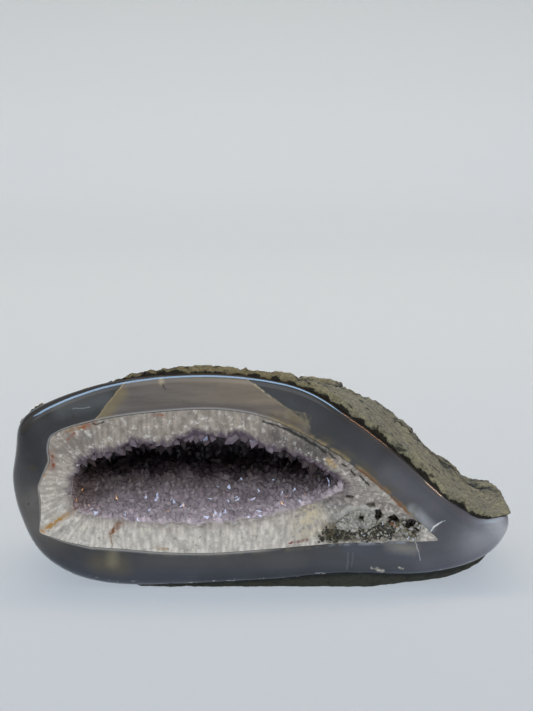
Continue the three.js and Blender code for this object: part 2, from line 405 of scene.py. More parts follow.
PROBE_START = -20 * MM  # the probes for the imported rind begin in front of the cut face
RAGGED = ((9 * MM, 0.7 * MM), (3 * MM, 0.6 * MM))  # sizes and heights of the waves along the ragged front
RIND_START = 2 * MM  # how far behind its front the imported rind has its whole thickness
END_WEAR = 1 * MM  # how much thinner the crust's end over the tip is
END_THINNEST = 0.6 * MM
LEAST_KEPT = 2.4 * MM  # crust that stays over the agate where the tip is worn down
EDGE_CURVE = 0.7  # draws the rows of the front edge together towards the agate
CRUMB_SIZE = 2.2 * MM
CRUMB_HEIGHT = 0.5 * MM
CONTACT_LIMIT = 20  # distance from the agate, in millimetres, up to which it is marked on the crust

# Places along the crust, each a change from the first x, height or depth to the second
LEFT_END_X = mm(-112, -92)
LEFT_END_Z = mm(72, 86)
UNDER_LEFT_X = mm(-80, -60)
UNDER_LEFT_Z = mm(12, 24)
TIP_X = mm(70, 90)
TIP_LAST_X = mm(122, 130)
TIP_Z = mm(31, 36)
FOOT_LEFT_X = mm(-88, -44)
FOOT_RIGHT_X = mm(50, 85)
FOOT_DEPTH = 20 * MM
HEEL_FIRST = mm(8, 14)
HEEL_LAST = mm(32, 46)
END_X = mm(96, 116)
END_Z = mm(16, 24)
END_DEPTH = mm(30, 60)
END_FADE_Z = mm(27, 37)
WEAR_X = mm(92, 118)
WEAR_DEPTH = mm(8, 36)

# Shares of a ray that point down or up
FOOT_DOWN = (0.5, 0.9)
WEAR_UP = (0.1, 0.5)
LEAST_DOWN = 0.3


def rind_front():
    """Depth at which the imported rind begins, and depth of the crust's ragged front, at each outer station."""
    rays = outer_rays()
    edge = lip()[1]
    tree = tree_of("basalt_rind")
    found = np.full(OUTER_STATIONS, np.nan)
    for i, start in enumerate(place(rays, edge + PROBE, PROBE_START)):
        hit = tree.ray_cast(Vector(start), Vector((0, 1, 0)))[0]
        if hit is not None:
            found[i] = hit.y - CUT
    known = ~np.isnan(found)
    stations = np.arange(OUTER_STATIONS)
    packed = smooth_round(np.interp(stations, stations[known], found[known], period=OUTER_STATIONS))
    points = place(rays, edge, 0)
    x, z = points[:, 0], points[:, 2]
    left_end = 1 - smoothstep(x, *LEFT_END_X)
    low = 1 - smoothstep(z, *LEFT_END_Z)
    ragged = sum(field(points, size, 2) * height for size, height in RAGGED)
    front = smooth_round(packed, FRONT_SPREAD)
    over_tip = smoothstep(x, *TIP_X) * (1 - smoothstep(x, *TIP_LAST_X)) * smoothstep(z, *TIP_Z)
    front = mix(front, np.minimum(front, TIP_FRONT), over_tip)
    front = mix(front, np.minimum(front, FOOT_FRONT), along_foot(rays, points))
    under_left = (1 - smoothstep(x, *UNDER_LEFT_X)) * (1 - smoothstep(z, *UNDER_LEFT_Z))
    return packed, front + LEFT_SETBACK * np.maximum(left_end * low, under_left) + ragged


def along_foot(rays, points):
    """1 along the middle of the foot, where the crust shows as a dark strip on the base, and 0 elsewhere."""
    x = points[:, 0]
    middle = smoothstep(x, *FOOT_LEFT_X) * (1 - smoothstep(x, *FOOT_RIGHT_X))
    return middle * smoothstep(-rays.way[:, 2], *FOOT_DOWN)


def crust_reach(rays, depth, packed):
    """How far the crust's outside lies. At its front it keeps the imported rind's first thickness."""
    start = packed + RIND_START
    known = np.maximum(depth, start)
    thick = reach("basalt_rind", rays, known) - reach("agate_band", rays, known)
    near = reach("agate_band", rays, depth)
    far = np.where(depth < start, near + thick, reach("basalt_rind", rays, depth))
    far = np.where(np.isnan(far) | (far < near + THINNEST), near + THINNEST, far)
    points = place(rays, far, depth)
    x, z = points[:, 0], points[:, 2]
    ground = rays.focus[:, 2] / np.maximum(-rays.way[:, 2], LEAST_DOWN)
    far = mix(far, np.maximum(far, ground), along_foot(rays, points) * (depth < FOOT_DEPTH))
    offset = np.hypot(x - HEEL[0] * MM, z - HEEL[1] * MM) / HEEL_SIZE
    behind_lip = smoothstep(depth, *HEEL_FIRST) * (1 - smoothstep(depth, *HEEL_LAST))
    far = far + HEEL_BULK * np.exp(-offset ** 2) * behind_lip
    over_tip = smoothstep(x, *END_X) * (1 - smoothstep(depth, *END_DEPTH)) * smoothstep(z, *END_Z)
    ending = mix(1, smoothstep(z, *END_FADE_Z), over_tip)
    rounded = near + np.maximum((far - near - END_WEAR * over_tip) * ending, END_THINNEST)
    far = np.where((over_tip > 0) & ~np.isnan(near), rounded, far)
    above = smoothstep(x, *WEAR_X) * smoothstep(rays.way[:, 2], *WEAR_UP)
    worn = TIP_SHRINK * above * smoothstep(depth, *WEAR_DEPTH)
    return np.fmax(far - worn, near + np.minimum(far - near, LEAST_KEPT))


def rind_rows(relief):
    """Rings of the rind from its hidden inner back, round its front edge, to its rough outer back."""
    rays = outer_rays()
    packed, front = rind_front()
    inner = []
    for k in range(RIND_HIDDEN + 1):
        depth = mix(front, AGATE_BACK * LAST_SHARE, math.sin((1 - k / RIND_HIDDEN) * math.pi / 2))
        inner.append(place(rays, smooth_round(reach("agate_band", rays, depth)) + CLEAR, depth))
    profile = []
    for k in range(RIND_PROFILE + 1):
        turn = k / RIND_PROFILE * LAST_TURN * math.pi / 2
        depth = mix(front + FRONT_ROUND, BACK * LAST_SHARE, math.sin(turn) ** (2 / BACK_SQUARENESS))
        profile.append(place(rays, smooth_round(crust_reach(rays, depth, packed)), depth))
    last = profile[-1]
    focus = rays.focus + np.array([0, last[0, 1], 0])
    profile += [mix(focus, last, share) for share in CAP_SHARES]
    outside = resampled(np.array(profile), RIND_ROWS)
    outside, raised, crack = roughened(outside, relief)
    edge = [mix(inner[-1], outside[0], (k / EDGE_ROWS) ** EDGE_CURVE) for k in range(1, EDGE_ROWS)]
    rows = np.concatenate([np.array(inner + edge), outside])
    crumbs = field(rows[len(inner):len(inner) + len(edge)], CRUMB_SIZE, 3) * CRUMB_HEIGHT
    rows[len(inner):len(inner) + len(edge), :, 1] += crumbs
    step = np.linalg.norm(np.diff(rows, axis=0), axis=2)
    run = np.concatenate([np.zeros((1, OUTER_STATIONS)), np.cumsum(step, axis=0)])
    contact = np.clip((run - run[len(inner) - 1]) / MM, 0, CONTACT_LIMIT)
    blank = np.zeros((len(inner) + len(edge), OUTER_STATIONS))
    return rows, contact, np.concatenate([blank, raised]), np.concatenate([blank, crack])


CRACK_WIDTH = (0.02, 0.16)  # shares of a flake's size over which the crack round it fades
SMALL_CRACK = 0.7  # depth of the cracks round small flakes as a share of those round large ones
LUMP_SIZE = 22 * MM
DRIFT_SIZE = 8 * MM
DRIFT = 3 * MM  # how far the borders of the flakes wander
LARGE_FLAKE = mm(30, 17, 13)
SMALL_FLAKE = mm(11, 8, 6)
GRIT_SIZE = 3 * MM
Relief = namedtuple("Relief", "lump large small crack grit")
RELIEF = Relief(lump=0.5, large=0.75, small=0.4, crack=0.55, grit=0.3)  # shares of the relief's whole height
WORN_X = mm(15, 45)  # the slope towards the tip is worn smooth
WORN_DEPTH = mm(30, 44)
WORN_SHARE = 0.85
UNDER_Z = mm(4, 22)  # so is the foot
UNDER_SHARE = 0.7
UNDER_GRIT = 0.6
SLAB_Z = mm(82, 96)  # the flakes along the top are thicker
SLAB_MORE = 0.9
FRONT_RISE = 3 * MM  # the relief is lower on the front edge
FRONT_SHARE = 0.6
GROUND_Z = mm(0.4, 5)
CAP_RIM = 0.5 * MM


def plates(points, size):
    """A random height for each flake of the crust, from -1 to 1, and how near each point is to its border."""
    made = np.empty((points.size // 3, 2))
    for i, point in enumerate((points / np.array(size)).reshape(-1, 3)):
        away, seeds = noise.voronoi(Vector(point))
        made[i] = noise.cell(seeds[0]), away[1] - away[0]
    made = made.reshape(*points.shape[:-1], 2)
    return made[..., 0], 1 - smoothstep(made[..., 1], *CRACK_WIDTH)


def roughened(rows, relief):
    """The rind's outside with its weathered relief: slow lumps, flaking plates, cracks and grit."""
    x, depth, z = rows[:, :, 0], rows[:, :, 1] - CUT, rows[:, :, 2]
    normals = normals_of(rows)
    normals[depth > BACK * LAST_SHARE - CAP_RIM] = (0, 1, 0)
    lumps = field(rows, LUMP_SIZE, 3)
    drift = np.stack([field(rows + shift, DRIFT_SIZE, 3) for shift in (0, FAR, -FAR)], axis=2)
    moved = rows + drift * DRIFT
    large, large_crack = plates(moved, LARGE_FLAKE)
    small, small_crack = plates(moved, SMALL_FLAKE)
    grit = field(rows, GRIT_SIZE, 4)
    worn = smoothstep(x, *WORN_X) * (1 - smoothstep(depth, *WORN_DEPTH))
    under = 1 - smoothstep(z, *UNDER_Z)
    flaky = (1 - WORN_SHARE * worn) * (1 - UNDER_SHARE * under)
    crack = np.maximum(large_crack, SMALL_CRACK * small_crack) * flaky
    slabs = 1 + SLAB_MORE * smoothstep(z, *SLAB_Z) * (1 - worn)
    flakes = (RELIEF.large * large + RELIEF.small * small - RELIEF.crack * crack) * flaky * slabs
    raised = RELIEF.lump * lumps + flakes + RELIEF.grit * grit * (1 - UNDER_GRIT * under)
    started = smoothstep(depth - depth.min(axis=0), 0, FRONT_RISE)
    push = relief * raised * mix(FRONT_SHARE, 1, started) * smoothstep(z, *GROUND_Z)
    made = rows + normals * push[:, :, None]
    made[:, :, 2] = np.maximum(made[:, :, 2], 0)
    return made, raised, crack


LINING_FACE_ROWS = 60
LINING_CAVITY_ROWS = 52
CAVITY_PROFILE = 24
CAVITY_SQUARENESS = 2.2
POINT_REACH = 9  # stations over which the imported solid's own points are left out of the cavity wall
LAYER_GAP = 0.25 * MM
DARK_RISE = (44 * MM, 69 * MM)  # heights between which the painted shade of the cavity's roof comes in and the points turn deep violet, just behind the cut face
DARK_SLOPE = 0.21  # how much lower that is for each step of depth
TOOTH_WIDTH = 7 * MM  # size of the sawn points that hang from the upper edge of the mouth
TOOTH_DROP = 6 * MM
# How much lower the mouth's upper edge hangs at each x, in millimetres
MOUTH_SAG = ((-90, 0), (-78, 3.4), (-46, 3.4), (-39, -1.5), (-33, -2.5), (-14, -2.5), (-4, 0))

# Open holes of the pocket right of the mouth: x, z, half width, half height and depth in millimetres
Hole = namedtuple("Hole", "x z wide high deep")
POCKET_HOLES = (Hole(49.3, 39.2, 1.7, 2.9, 6), Hole(54.3, 44.9, 1.9, 1.3, 4), Hole(58.2, 39.0, 1.7, 3.3, 6),
                Hole(66.0, 37.0, 2.4, 2.2, 7), Hole(74.2, 34.9, 3.0, 2.3, 8), Hole(77.2, 31.4, 2.2, 1.5, 4),
                Hole(43.5, 49.6, 1.9, 0.8, 3))
POCKET_LINE = ((38, 33.5), (73, 32.5))  # the pocket's ends on the cut face, in millimetres
POCKET_WIDTH = 8.5 * MM
FAN = (49.5, 29.5)  # root of the fan of quartz fibres in the pocket, in millimetres
FAN_REACH = 16 * MM
FAN_DEPTH = 3.2 * MM
FAN_NEEDLES = 460
DARK_LINE = ((31, 29.6), (64, 30.0))  # the band of dark grains along the foot of the pocket, in millimetres
DARK_WIDTH = 3.0 * MM
POCKET_FOOT = ((34, 30.5), (76, 32.5))  # the dirty foot of the pocket, in millimetres
POCKET_RIM = 0.5  # share of the pocket's width at which its floor begins to rise
POCKET_LUMP = 5.5 * MM
POCKET_LEAST = 0.3 * MM  # depth of the pocket at the top of a lump
POCKET_MORE = 2.4 * MM
HOLE_WALL = (0.7, 1.25)  # shares of a hole's half size over which its wall falls
HOLE_RAGGED = 0.55
HOLE_RAGGED_SIZE = 2.4 * MM
FAN_RIM = 0.6  # share of the fan's reach at which its bowl begins to rise
FAN_FOOT_Z = mm(29, 34)
COLUMN_END = 3 * MM  # size of the ends of the columns on the cut face
FACE_RELIEF = 0.12 * MM
MOUTH_SHARE = (0.7, 1.0)  # shares of the way to the mouth over which the columns break off deeper
MOUTH_LEAST = 0.3 * MM
MOUTH_MORE = 2.2 * MM
JAG_SIZE = 5 * MM  # size and height of the jags along the mouth
JAG_HEIGHT = 1.3 * MM
TOOTH_UP = (0, 0.5)  # shares of a ray that point up, over which the points hang down
TOOTH_MIDDLE = 0.55
SAG_UP = (0.3, 0.7)
FACE_EDGE = 0.06  # share of the face along the agate that stays polished flat
WALL_STEP = 0.3 * MM  # least depth from one row of the cavity wall to the next
WALL_LUMP_SIZE = 9 * MM
WALL_LUMP = 1.2 * MM
CAVITY_MIDDLE = 15 * MM  # depth of the point that the crystals look towards
DARK_PATCHY = 0.2
DARK_PATCH_SIZE = 7 * MM
DARK_DEPTH = mm(1.5, 6)  # the painted shade comes in behind the cut face


def from_line(points, ends):
    """Distance on the cut face from each point to a straight line between two ends in millimetres."""
    start, end = (np.array(e) * MM for e in ends)
    offset = points[..., [0, 2]] - start
    along = end - start
    share = np.clip(offset @ along / (along @ along), 0, 1)
    return np.linalg.norm(offset - share[..., None] * along, axis=-1)


def from_hole(x, z, hole):
    """Distance from a hole's middle as a share of its half size, 1 on its rim."""
    return np.hypot((x / MM - hole.x) / hole.wide, (z / MM - hole.z) / hole.high)


def cavity_depth():
    """Depth of the cavity behind the cut face, measured by rays along the spine."""
    tree = tree_of("amethyst_druse")
    found = []
    for x in np.linspace(INNER_SPINE.left, INNER_SPINE.right, 9):
        hit = tree.ray_cast(Vector((x, CUT - FAR, INNER_SPINE.z)), Vector((0, 1, 0)))[0]
        found.append(hit.y - CUT)
    return max(found)


def sunk(points, share):
    """How far the quartz lies behind the cut face: pocket, holes, ragged mouth and ends of its columns."""
    x, z = points[..., 0], points[..., 2]
    open_pocket = 1 - smoothstep(from_line(points, POCKET_LINE), POCKET_WIDTH * POCKET_RIM, POCKET_WIDTH)
    deep = open_pocket * (POCKET_LEAST + POCKET_MORE * cells(points, POCKET_LUMP))
    ragged = HOLE_RAGGED * field(points, HOLE_RAGGED_SIZE, 3)
    for hole in POCKET_HOLES:
        away = from_hole(x, z, hole) + ragged
        deep = np.maximum(deep, hole.deep * MM * (1 - smoothstep(away, *HOLE_WALL)))
    from_root = np.linalg.norm(points[..., [0, 2]] - np.array(FAN) * MM, axis=-1)
    bowl = (1 - smoothstep(from_root, FAN_REACH * FAN_RIM, FAN_REACH)) * smoothstep(z, *FAN_FOOT_Z)
    deep = np.maximum(deep, FAN_DEPTH * bowl)
    columns = np.abs(field(points, COLUMN_END, 3))
    near_mouth = smoothstep(share, *MOUTH_SHARE)
    return deep + near_mouth * (MOUTH_LEAST + MOUTH_MORE * columns) + FACE_RELIEF * columns


@lru_cache(maxsize=None)
def lining():
    """Rings of the quartz lining: hidden outer wall, cut face, cavity wall. Also its marks for the finish."""
    rays = inner_rays()
    wall = quartz_wall(LAYER_GAP)
    edge = quartz_edge(LAYER_GAP)
    mouth = smooth_round(reach("amethyst_druse", rays, SKIM, True), 2)
    line, up = place(rays, mouth, 0), rays.way[:, 2]
    jagged = field(line, JAG_SIZE, 3) * JAG_HEIGHT
    hanging = smoothstep(up, *TOOTH_UP) * (TOOTH_MIDDLE - cells(line, TOOTH_WIDTH)) * TOOTH_DROP
    sag = np.interp(line[:, 0] / MM, *np.array(MOUTH_SAG).T) * MM
    mouth = mouth + jagged - hanging - sag * smoothstep(up, *SAG_UP)
    face = []
    for k in range(LINING_FACE_ROWS + 1):
        share = k / LINING_FACE_ROWS
        ring = place(rays, mix(edge, mouth, share), 0)
        ring[:, 1] += sunk(ring, np.full(INNER_STATIONS, share)) * smoothstep(share, 0, FACE_EDGE)
        face.append(ring)
    cavity = cavity_rows(rays, mouth, face[-1])
    rows = np.concatenate([np.array(wall), np.array(face), cavity])
    rims = [0.0] * len(wall) + [k / LINING_FACE_ROWS for k in range(LINING_FACE_ROWS + 1)]
    rims += [1.0] * len(cavity)
    rim = np.repeat(np.array(rims)[:, None], INNER_STATIONS, axis=1)
    return rows, rim, len(rows) - len(cavity)


def cavity_rows(rays, mouth, rim):
    deepest = cavity_depth()
    profile = [rim]
    for k in range(1, CAVITY_PROFILE + 1):
        turn = k / CAVITY_PROFILE * LAST_TURN * math.pi / 2
        depth = deepest * math.sin(turn) ** (2 / CAVITY_SQUARENESS)
        far = reach("amethyst_druse", rays, depth, True)
        far = np.max([np.roll(far, s) for s in range(-POINT_REACH, POINT_REACH + 1)], axis=0)
        far = np.minimum(smooth_round(far, POINT_REACH), mouth)
        profile.append(place(rays, far, np.maximum(depth, rim[:, 1] - CUT + WALL_STEP * k)))
    last = profile[-1]
    focus = rays.focus + np.array([0, last[0, 1], 0])
    profile += [mix(focus, last, share) for share in CAP_SHARES]
    rows = resampled(np.array(profile), LINING_CAVITY_ROWS + 1)[1:]
    inward = normals_of(rows, cavity_middle())
    lumps = field(rows, WALL_LUMP_SIZE, 3) * WALL_LUMP
    return rows + inward * lumps[:, :, None]


def cavity_middle():
    middle = (INNER_SPINE.left + INNER_SPINE.right) / 2
    return np.array([middle, CUT + CAVITY_MIDDLE, INNER_SPINE.z])


def shade_and_violet(points):
    """0 on the pale floor of the cavity, rising to 1 on its far wall and ceiling, where the deep violet points
    grow and painted shade turns the colour brown and nearly black.
    """
    depth = points[..., 1] - CUT
    rise = points[..., 2] + DARK_SLOPE * depth
    patchy = DARK_PATCHY * field(points, DARK_PATCH_SIZE, 3)
    return np.clip(smoothstep(rise, *DARK_RISE) + patchy, 0, 1) * smoothstep(depth, *DARK_DEPTH)


# Crystals

Growth = namedtuple("Growth", "spacing radius proud tilt taper", defaults=[1.0])
TEMPLATE_SIDES = 6
NEIGHBOURS = [(a, b, c) for a in (-1, 0, 1) for b in (-1, 0, 1) for c in (-1, 0, 1)]
TRIES = 26000  # places that are tried for the crystals of one piece
TILT_SHARE = 0.6  # share of a growth's tilt that a usual crystal leans by

# Shares of a crystal's radius
ROOT_DEPTH = 1.2
TAPER = (0.9, 1.35)
LEAST_SHOULDER = 0.1
UNEVEN = 0.22
TIP_OFFSET = 0.4
INNERMOST = 0.5


@lru_cache(maxsize=None)
def template():
    """A hexagonal prism with a middle point on each end, as vertex places and faces."""
    bm = bmesh.new()
    bmesh.ops.create_cone(bm, cap_ends=True, cap_tris=True, segments=TEMPLATE_SIDES,
                          radius1=1, radius2=1, depth=1)
    bmesh.ops.recalc_face_normals(bm, faces=bm.faces)
    bm.verts.index_update()
    points = np.array([v.co for v in bm.verts])
    faces = [[v.index for v in face.verts] for face in bm.faces]
    bm.free()
    return points, faces


def scattered(rows, allowed, spacing, draws, tries):
    """Places on a grid of rings at least a spacing apart, picked at random by area where allowed."""
    step_round = np.linalg.norm(np.roll(rows, -1, axis=1) - rows, axis=2)
    step_along = np.linalg.norm(np.gradient(rows, axis=0), axis=2)
    weight = (step_round * step_along * allowed).ravel()
    picks = draws.choice(weight.size, size=tries, p=weight / weight.sum())
    taken = {}
    kept = []
    for pick in picks:
        point = rows.reshape(-1, 3)[pick]
        cell = tuple(np.floor(point / spacing).astype(int))
        near = [(cell[0] + a, cell[1] + b, cell[2] + c) for a, b, c in NEIGHBOURS]
        others = [p for key in near for p in taken.get(key, ())]
        if all(np.sum((point - other) ** 2) > spacing ** 2 for other in others):
            taken.setdefault(cell, []).append(point)
            kept.append(pick)
    return np.array(kept)


def grown(places, normals, growth, draws, scale=1.0):
    """Crystal points as one mesh: each a six-sided prism with its root sunk and an off-centre tip."""
    points, faces = template()
    count = len(places)
    top = points[:, 2] > 0
    middle = np.hypot(points[:, 0], points[:, 1]) < INNERMOST
    axis = normals + draws.normal(0, 1, (count, 3)) * math.tan(growth.tilt) * TILT_SHARE
    axis /= np.linalg.norm(axis, axis=1, keepdims=True)
    aside = np.cross(axis, draws.normal(0, 1, (count, 3)))
    aside /= np.linalg.norm(aside, axis=1, keepdims=True)
    across = np.cross(axis, aside)
    radius = draws.uniform(*growth.radius, count) * np.sqrt(scale)
    proud = draws.uniform(*growth.proud, count) * scale
    height = np.where(top, 0, -ROOT_DEPTH)[None, :] * radius[:, None]
    taper = radius * draws.uniform(*TAPER, count) * growth.taper
    shoulder = np.maximum(proud - taper, LEAST_SHOULDER * radius)
    uneven = draws.uniform(-UNEVEN, UNEVEN, (count, len(points))) * radius[:, None]
    height = np.where(top, shoulder[:, None] + uneven, height)
    height = np.where(top & middle, proud[:, None], height)
    wide = points[:, :2][None] * radius[:, None, None]
    offset = draws.uniform(-TIP_OFFSET, TIP_OFFSET, (count, 1, 2)) * radius[:, None, None]
    wide = np.where((top & middle)[None, :, None], offset, wide)
    made = places[:, None] + aside[:, None] * wide[:, :, :1] + across[:, None] * wide[:, :, 1:]
    made = made + axis[:, None] * height[:, :, None]
    mesh = bpy.data.meshes.new("crystals")
    shift = len(points)
    mesh.from_pydata(made.reshape(-1, 3).tolist(), [],
                     [[v + shift * k for v in face] for k in range(count) for face in faces])
    bm = bmesh.new()
    bm.from_mesh(mesh)
    bpy.data.meshes.remove(mesh)
    tip = bm.verts.layers.float.new("tip")
    tone = bm.verts.layers.float.new("tone")
    gloom = bm.verts.layers.float.new("gloom")
    tones = draws.uniform(0, 1, count)
    # painted shade of the cavity at each crystal's place
    painted_shades = shade_and_violet(places)
    for index, vert in enumerate(bm.verts):
        vert[tip] = float(top[index % shift])
        vert[tone] = tones[index // shift]
        vert[gloom] = painted_shades[index // shift]
    return bm


def sawn(bm):
    """Cuts off what stands in front of the cut face and closes the cuts."""
    geometry = bm.verts[:] + bm.edges[:] + bm.faces[:]
    bmesh.ops.bisect_plane(bm, geom=geometry, plane_co=(0, CUT + SKIM, 0), plane_no=(0, -1, 0),
                           clear_outer=True)
    bmesh.ops.holes_fill(bm, edges=bm.edges, sides=0)
    bmesh.ops.recalc_face_normals(bm, faces=bm.faces)
    return bm


# Finishes

Mark = namedtuple("Mark", "start end width colour strength")
Seam = namedtuple("Seam", "left right low high width colour strength")
RANGES = ("From", "To")
SEAM_FADE = 3  # millimetres over which a seam's ends fade
LEAST_SQUARE = 1e-9  # keeps a very short mark from dividing by zero


def linear(code):
    """An sRGB hex colour as linear red, green, blue and alpha."""
    parts = [int(code[i:i + 2], 16) / 255 for i in (1, 3, 5)]
    return (*[p / 12.92 if p <= 0.04045 else ((p + 0.055) / 1.055) ** 2.4 for p in parts], 1.0)


def per(size):
    """The scale of a pattern whose features have a size in millimetres."""
    return 1 / (size * MM)


def feed(tree, node, inputs):
    """Sets or links inputs. From and To stand for a range and are given its two ends."""
    for name, value in inputs.items():
        if name in RANGES:
            feed(tree, node, {f"{name} Min": value[0], f"{name} Max": value[1]})
            continue
        socket = node.inputs[name]
        if isinstance(value, bpy.types.Node):
            tree.links.new(value.outputs[0], socket)
        elif isinstance(value, bpy.types.NodeSocket):
            tree.links.new(value, socket)
        else:
            socket.default_value = value


def add(tree, kind, inputs=(), **options):
    """Adds a shader node with its options and inputs. A node among the inputs stands for its first output."""
    made = tree.nodes.new("ShaderNode" + kind)
    for name, value in options.items():
        setattr(made, name, value)
    feed(tree, made, dict(inputs))
    return made


def tinted(tree, colour, value, span, shares, over, **options):
    """Lays a colour over another, by a share that changes while a value goes through a range."""
    share = add(tree, "MapRange", {"Value": value, "From": span, "To": shares}, **options)
    return add(tree, "MixRGB", {"Fac": share, "Color1": colour, "Color2": over})


def dimmed(tree, colour, value, span, shares):
    """Makes a colour darker and lighter while a value goes through a range."""
    share = add(tree, "MapRange", {"Value": value, "From": span, "To": shares})
    return add(tree, "VectorMath", {0: colour, "Scale": share}, operation="SCALE")


def new_finish(name):
    material = bpy.data.materials.new(name)
    material.use_nodes = True
    tree = material.node_tree
    return material, tree, tree.nodes["Principled BSDF"]


def on_face(point):
    return (point[0] * MM, 0, point[1] * MM)


def flat_place(tree, wander):
    """Object coordinates laid on the cut face and wandering by a few tenths of a millimetre."""
    here = add(tree, "TexCoord").outputs["Object"]
    drift = add(tree, "TexNoise", {"Vector": here, "Scale": per(3), "Detail": 3})
    moved = add(tree, "VectorMath", {0: drift.outputs["Color"], 1: (0.5, 0.5, 0.5)}, operation="SUBTRACT")
    scaled = add(tree, "VectorMath", {0: moved, "Scale": wander * MM}, operation="SCALE")
    whole = add(tree, "VectorMath", {0: here, 1: scaled}, operation="ADD")
    flat = add(tree, "VectorMath", {0: whole, 1: (1, 0, 1)}, operation="MULTIPLY")
    return here, flat


def streak(tree, flat, mark):
    """1 on a line across the cut face, fading to 0 at its width."""
    start, end = Vector(on_face(mark.start)), Vector(on_face(mark.end))
    along = end - start
    offset = add(tree, "VectorMath", {0: flat, 1: start}, operation="SUBTRACT")
    dot = add(tree, "VectorMath", {0: offset, 1: along}, operation="DOT_PRODUCT").outputs["Value"]
    share = add(tree, "Math", {0: dot, 1: 1 / max(along.length_squared, LEAST_SQUARE)},
                operation="MULTIPLY", use_clamp=True)
    near = add(tree, "VectorMath", {0: along, "Scale": share}, operation="SCALE")
    away = add(tree, "VectorMath", {0: offset, 1: near}, operation="DISTANCE").outputs["Value"]
    inputs = {"Value": away, "From": (0, mark.width * MM), "To": (mark.strength, 0)}
    return add(tree, "MapRange", inputs, interpolation_type="SMOOTHSTEP")


def crumbled(tree, here, size):
    """A pattern of real size that breaks up a stain, from 0 to a little above 1."""
    pattern = add(tree, "TexNoise", {"Vector": here, "Scale": per(size), "Detail": 4, "Roughness": 0.65})
    return add(tree, "MapRange", {"Value": pattern, "From": (0.38, 0.6), "To": (0, 1.25)})


def marked(tree, colour, flat, marks, crumbs=None):
    """Lays marks over a colour, one after the other, broken up where a pattern of crumbs is given."""
    for mark in marks:
        mask = streak(tree, flat, mark)
        if crumbs:
            mask = add(tree, "Math", {0: mask, 1: crumbs}, operation="MULTIPLY", use_clamp=True)
        colour = add(tree, "MixRGB", {"Fac": mask, "Color1": colour, "Color2": linear(mark.colour)})
    return colour


def seamed(tree, colour, axes, share, seams, crumbs):
    """Stains along the boundary of two layers, each inside its own box on the cut face."""
    for seam in seams:
        mask = add(tree, "MapRange", {"Value": share, "From": (0, seam.width), "To": (seam.strength, 0)})
        sides = (("X", seam.left, SEAM_FADE), ("X", seam.right, -SEAM_FADE),
                 ("Z", seam.low, SEAM_FADE), ("Z", seam.high, -SEAM_FADE))
        for axis, limit, fade in sides:
            side = add(tree, "MapRange", {"Value": axes.outputs[axis],
                                          "From": (limit * MM, (limit + fade) * MM)})
            mask = add(tree, "Math", {0: mask, 1: side}, operation="MULTIPLY")
        mask = add(tree, "Math", {0: mask, 1: crumbs}, operation="MULTIPLY", use_clamp=True)
        colour = add(tree, "MixRGB", {"Fac": mask, "Color1": colour, "Color2": linear(seam.colour)})
    return colour


# Clouds of the agate on the cut face and a painted glow, in millimetres from the stone's middle
AGATE_CLOUDS_AND_GLOW = (
    Mark((-117, 44), (-106, 38), 24, "#75706c", 0.75),
    Mark((-119, 80), (-112, 66), 15, "#1b1b1d", 0.95),
    Mark((-100, 96), (-78, 101), 9, "#5b5d5e", 0.7),
    Mark((-104, 84), (-82, 93), 5, "#2b2c2e", 0.6),
    Mark((28, 100), (60, 72), 13, "#2a2b30", 0.7),
    Mark((62, 62), (84, 44), 11, "#66676e", 0.6),
    Mark((112, 24), (126, 27), 24, "#a3a7b0", 0.7),
    Mark((118, 36), (128, 26), 9, "#c3c7cf", 0.6),
    Mark((84, 14), (112, 16), 14, "#62616e", 0.55),
    Mark((-60, 15), (20, 17), 7, "#514e4d", 0.55),
    Mark((-30, 4), (60, 7), 8, "#20242c", 0.75),
    Mark((44, 22), (74, 20), 7, "#4a5466", 0.55),
    # a painted glow along the quartz's right corner
    Mark((75.0, 43.2), (84.0, 34.4), 4.8, "#bcc3c9", 0.6),
    Mark((-84, 15.0), (-72, 13.8), 10, "#6d6244", 0.45),
    Mark((-76.3, 20.5), (-76.6, 15), 5.5, "#938c74", 0.4),
    Mark((64, 23.6), (76, 22.2), 5.5, "#86837d", 0.75),
)
AGATE_STAINS = (
    Mark((-116.5, 64), (-115, 65.5), 2.2, "#3a2c14", 0.8),
    Mark((-95, 93), (-93, 89), 2.6, "#2f2e27", 0.7),
    Mark((55.5, 12.2), (60.5, 10.2), 1.7, "#d5d0c4", 1.0),
    Mark((69, 12), (71, 11.6), 0.9, "#c9c6bd", 0.9),
)
AGATE_LINES_AND_HIGHLIGHTS = (
    Mark((-118, 46), (-118, 46.1), 0.8, "#0b0a08", 1.0),
    Mark((77, 26), (78.5, 21), 0.6, "#b9bcc2", 0.8),
    Mark((78.5, 21), (79.8, 16), 0.5, "#a4a8b0", 0.7),
    Mark((42.9, 20), (42.6, 11), 0.8, "#6f7580", 0.45),
    Mark((45.4, 20), (45.0, 13), 0.6, "#6f7580", 0.35),
    # a painted highlight: the curved white streak on the face near the tip
    Mark((84.6, 32.0), (86.2, 33.8), 0.6, "#e6eaec", 1.0),
    Mark((86.2, 33.8), (88.1, 35.4), 0.8, "#f6f8f8", 1.0),
    Mark((88.1, 35.4), (90.1, 36.6), 0.6, "#dfe6ea", 1.0),
    Mark((90.1, 36.6), (92.1, 37.2), 0.4, "#aeb8c0", 0.9),
    # a painted highlight: a small pale streak high on the left
    Mark((-94, 95.4), (-86, 96.3), 0.5, "#9aa4ac", 0.6),
)
AGATE_SEAMS = (
    Seam(-6, 80, 30, 95, 0.42, "#5a5039", 0.85),
    Seam(-2, 78, 35, 95, 0.14, "#a3926a", 0.9),
    Seam(40, 74, 35, 66, 0.13, "#7a4a20", 0.9),
    Seam(-118, -100, 28, 72, 0.10, "#8f7842", 0.95),
    Seam(-102, -76, 80, 95, 0.10, "#7f6c42", 0.9),
    Seam(-60, 30, 15, 26, 0.22, "#77705f", 0.5),
    Seam(32, 74, 18, 29, 0.12, "#a9b5c1", 0.6),
)
